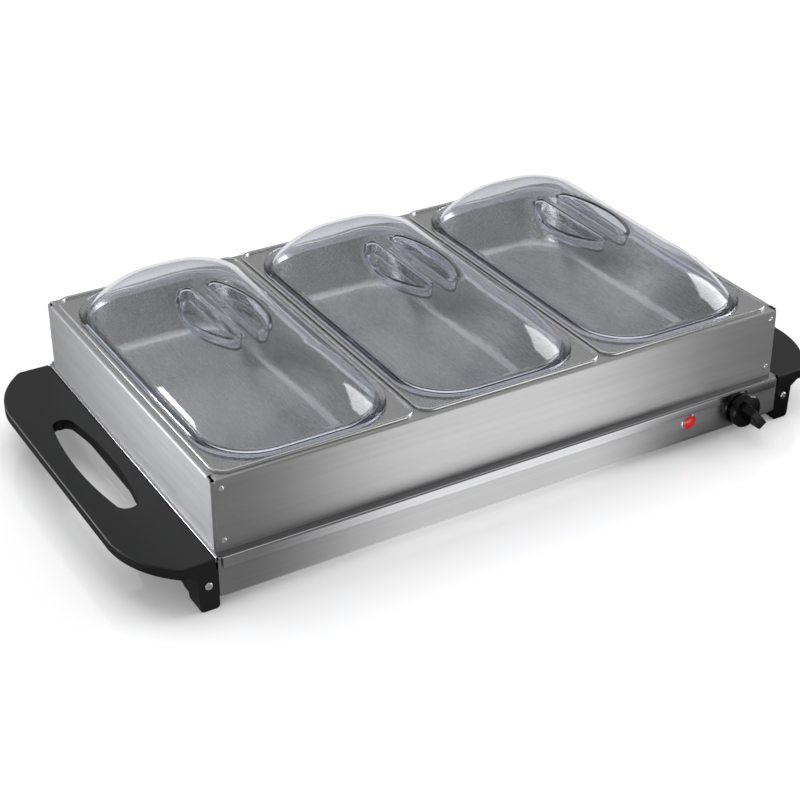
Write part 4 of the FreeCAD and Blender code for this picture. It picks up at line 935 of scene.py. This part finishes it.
def makeFloor():
    size = studio["floorSize"]
    mesh = bpy.data.meshes.new("floor")
    mesh.from_pydata([(-size, -size, 0), (size, -size, 0), (size, size, 0), (-size, size, 0)], [],
                     [(0, 1, 2, 3)])
    floor = addObject("floor", mesh)
    material, tree, shader = blankMaterial("floorGloss")
    setInputs(shader, {"Base Color": studio["floorColour"], "Roughness": studio["floorRough"],
                       "IOR": studio["floorIor"], "Emission Color": (1, 1, 1, 1)})
    calc = calculator(tree)
    path = addNode(tree, "ShaderNodeLightPath", (-600, 300))
    seen = calc("MAXIMUM", path.outputs["Is Camera Ray"], path.outputs["Is Glossy Ray"])
    seen = calc("MAXIMUM", seen, path.outputs["Is Transmission Ray"])
    place = addNode(tree, "ShaderNodeTexCoord", (-1300, -300))
    away = addNode(tree, "ShaderNodeVectorMath", (-1000, 200), operation="LENGTH")
    tree.links.new(place.outputs["Object"], away.inputs[0])
    far = stepBetween(tree, away.outputs["Value"], *studio["farFrom"])
    lift = mixNumbers(tree, far, studio["floorLift"], studio["farLift"])
    tree.links.new(calc("MULTIPLY", seen, lift), shader.inputs["Emission Strength"])

    split = addNode(tree, "ShaderNodeSeparateXYZ", (-1100, -300))
    tree.links.new(place.outputs["Object"], split.inputs["Vector"])
    x, y = split.outputs["X"], split.outputs["Y"]
    before = calc("SUBTRACT", y, frontFace)
    alongFront = calc("ADD", x, calc("MULTIPLY", before, pools["frontSlant"]))
    beside = calc("SUBTRACT", x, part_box("frame_left_panel")[0].x)
    alongSide = calc("ADD", calc("SUBTRACT", y, (frontFace + rearFace) / 2),
                     calc("MULTIPLY", beside, pools["sideSlant"]))
    # Painted shade: a few centimetres in front of the right part of the front wall, the pool falls to a dim
    # level
    near = calc("MULTIPLY", stepBetween(tree, before, *pools["nearFrom"]),
                stepBetween(tree, alongFront, *pools["nearAlong"]))
    pool = calc("MULTIPLY", stepBetween(tree, alongFront, *pools["left"]),
                stepBetween(tree, alongFront, *pools["right"]))
    frontLevel = mixNumbers(tree, pool, pools["ends"], pools["middle"])
    frontLevel = calc("MULTIPLY", frontLevel, mixNumbers(tree, near, 1.0, pools["near"]))
    onLeft = calc("MULTIPLY", stepBetween(tree, before, *pools["leftFront"]),
                  stepBetween(tree, beside, *pools["leftEdge"]))
    sideLevel = mixNumbers(tree, stepBetween(tree, alongSide, *pools["side"]), pools["sideRear"], 1.0)
    # Painted shade: within 10 cm beside the left wall, under the handle, the side pool falls to the sideFar
    # level
    close = stepBetween(tree, beside, *pools["sideFarFrom"])
    sideLevel = mixNumbers(tree, close, pools["sideFar"], sideLevel)
    behind = stepBetween(tree, before, *pools["behindFrom"])
    frontLevel = mixNumbers(tree, behind, frontLevel, pools["behind"])
    level = mixNumbers(tree, onLeft, frontLevel, sideLevel)
    card = addNode(tree, "ShaderNodeEmission", (0, -300))
    tree.links.new(level, card.inputs["Strength"])
    mix = addNode(tree, "ShaderNodeMixShader", (300, 0))
    tree.links.new(path.outputs["Is Glossy Ray"], mix.inputs["Fac"])
    tree.links.new(shader.outputs["BSDF"], mix.inputs[1])
    tree.links.new(card.outputs["Emission"], mix.inputs[2])
    tree.links.new(mix.outputs["Shader"], tree.nodes["Material Output"].inputs["Surface"])
    mesh.materials.append(material)


def makeWorld():
    world = bpy.data.worlds.new("studioWorld")
    bpy.context.scene.world = world
    world.use_nodes = True
    tree = world.node_tree
    background = tree.nodes["Background"]
    path = addNode(tree, "ShaderNodeLightPath", (-600, 300))
    place = addNode(tree, "ShaderNodeTexCoord", (-1300, -300))
    split = addNode(tree, "ShaderNodeSeparateXYZ", (-1100, -300))
    tree.links.new(place.outputs["Generated"], split.inputs["Vector"])
    x, y, z = (split.outputs[axis] for axis in "XYZ")

    # Gloss and glass see a sky that is brightest at the left, greyer at the right and darkest in front
    level = mixNumbers(tree, stepBetween(tree, x, *sky["across"]), sky["left"], sky["right"])
    ahead = mixNumbers(tree, path.outputs["Is Transmission Ray"], sky["front"], sky["through"])
    level = mixNumbers(tree, stepBetween(tree, y, *sky["ahead"]), level, ahead)
    level = mixNumbers(tree, stepBetween(tree, z, *sky["above"]), level, sky["top"])
    mirrored = mathNode(tree, "MAXIMUM", path.outputs["Is Glossy Ray"], path.outputs["Is Transmission Ray"])
    strength = mixNumbers(tree, mirrored, studio["worldLevel"], level)
    strength = mixNumbers(tree, path.outputs["Is Camera Ray"], strength, 1.0)
    tree.links.new(strength, background.inputs["Strength"])
    background.inputs["Color"].default_value = (1, 1, 1, 1)


def addLamp(name, place, aim, wide, tall, power, mirrored, through):
    lamp = bpy.data.lights.new(name, "AREA")
    lamp.shape = "RECTANGLE"
    lamp.size = wide
    lamp.size_y = tall
    lamp.energy = power
    holder = addObject(name, lamp)
    holder.location = place
    holder.rotation_mode = "QUATERNION"
    holder.rotation_quaternion = (Vector(aim) - Vector(place)).to_track_quat("-Z", "Y")
    holder.visible_glossy = mirrored
    holder.visible_transmission = through


view = dict(azimuth=-30.395, elevation=30.33, roll=-0.094, distance=1.5681, aimHeight=0.060,
            sideways=-0.00937, upwards=-0.03992, lens=80.80)


def makeCamera():
    azimuth = math.radians(view["azimuth"])
    elevation = math.radians(view["elevation"])
    back = Vector((math.sin(azimuth) * math.cos(elevation), -math.cos(azimuth) * math.cos(elevation),
                   math.sin(elevation)))
    right = Vector((0, 0, 1)).cross(back).normalized()
    up = back.cross(right)
    turn = Matrix.Rotation(math.radians(view["roll"]), 3, back)
    right, up = turn @ right, turn @ up
    aim = Vector((0, (frontFace + rearFace) / 2, view["aimHeight"]))
    place = aim + right * view["sideways"] + up * view["upwards"] + back * view["distance"]
    data = bpy.data.cameras.new("photoView")
    data.lens = view["lens"]
    data.clip_start = 0.01
    camera = addObject("photoView", data)
    camera.matrix_world = Matrix.Translation(place) @ Matrix((right, up, back)).transposed().to_4x4()
    bpy.context.scene.camera = camera


makeFloor()
makeWorld()
for lamp in lamps:
    addLamp(**lamp)
makeCamera()
bpy.context.scene.view_settings.view_transform = "Standard"
print("studio ready")
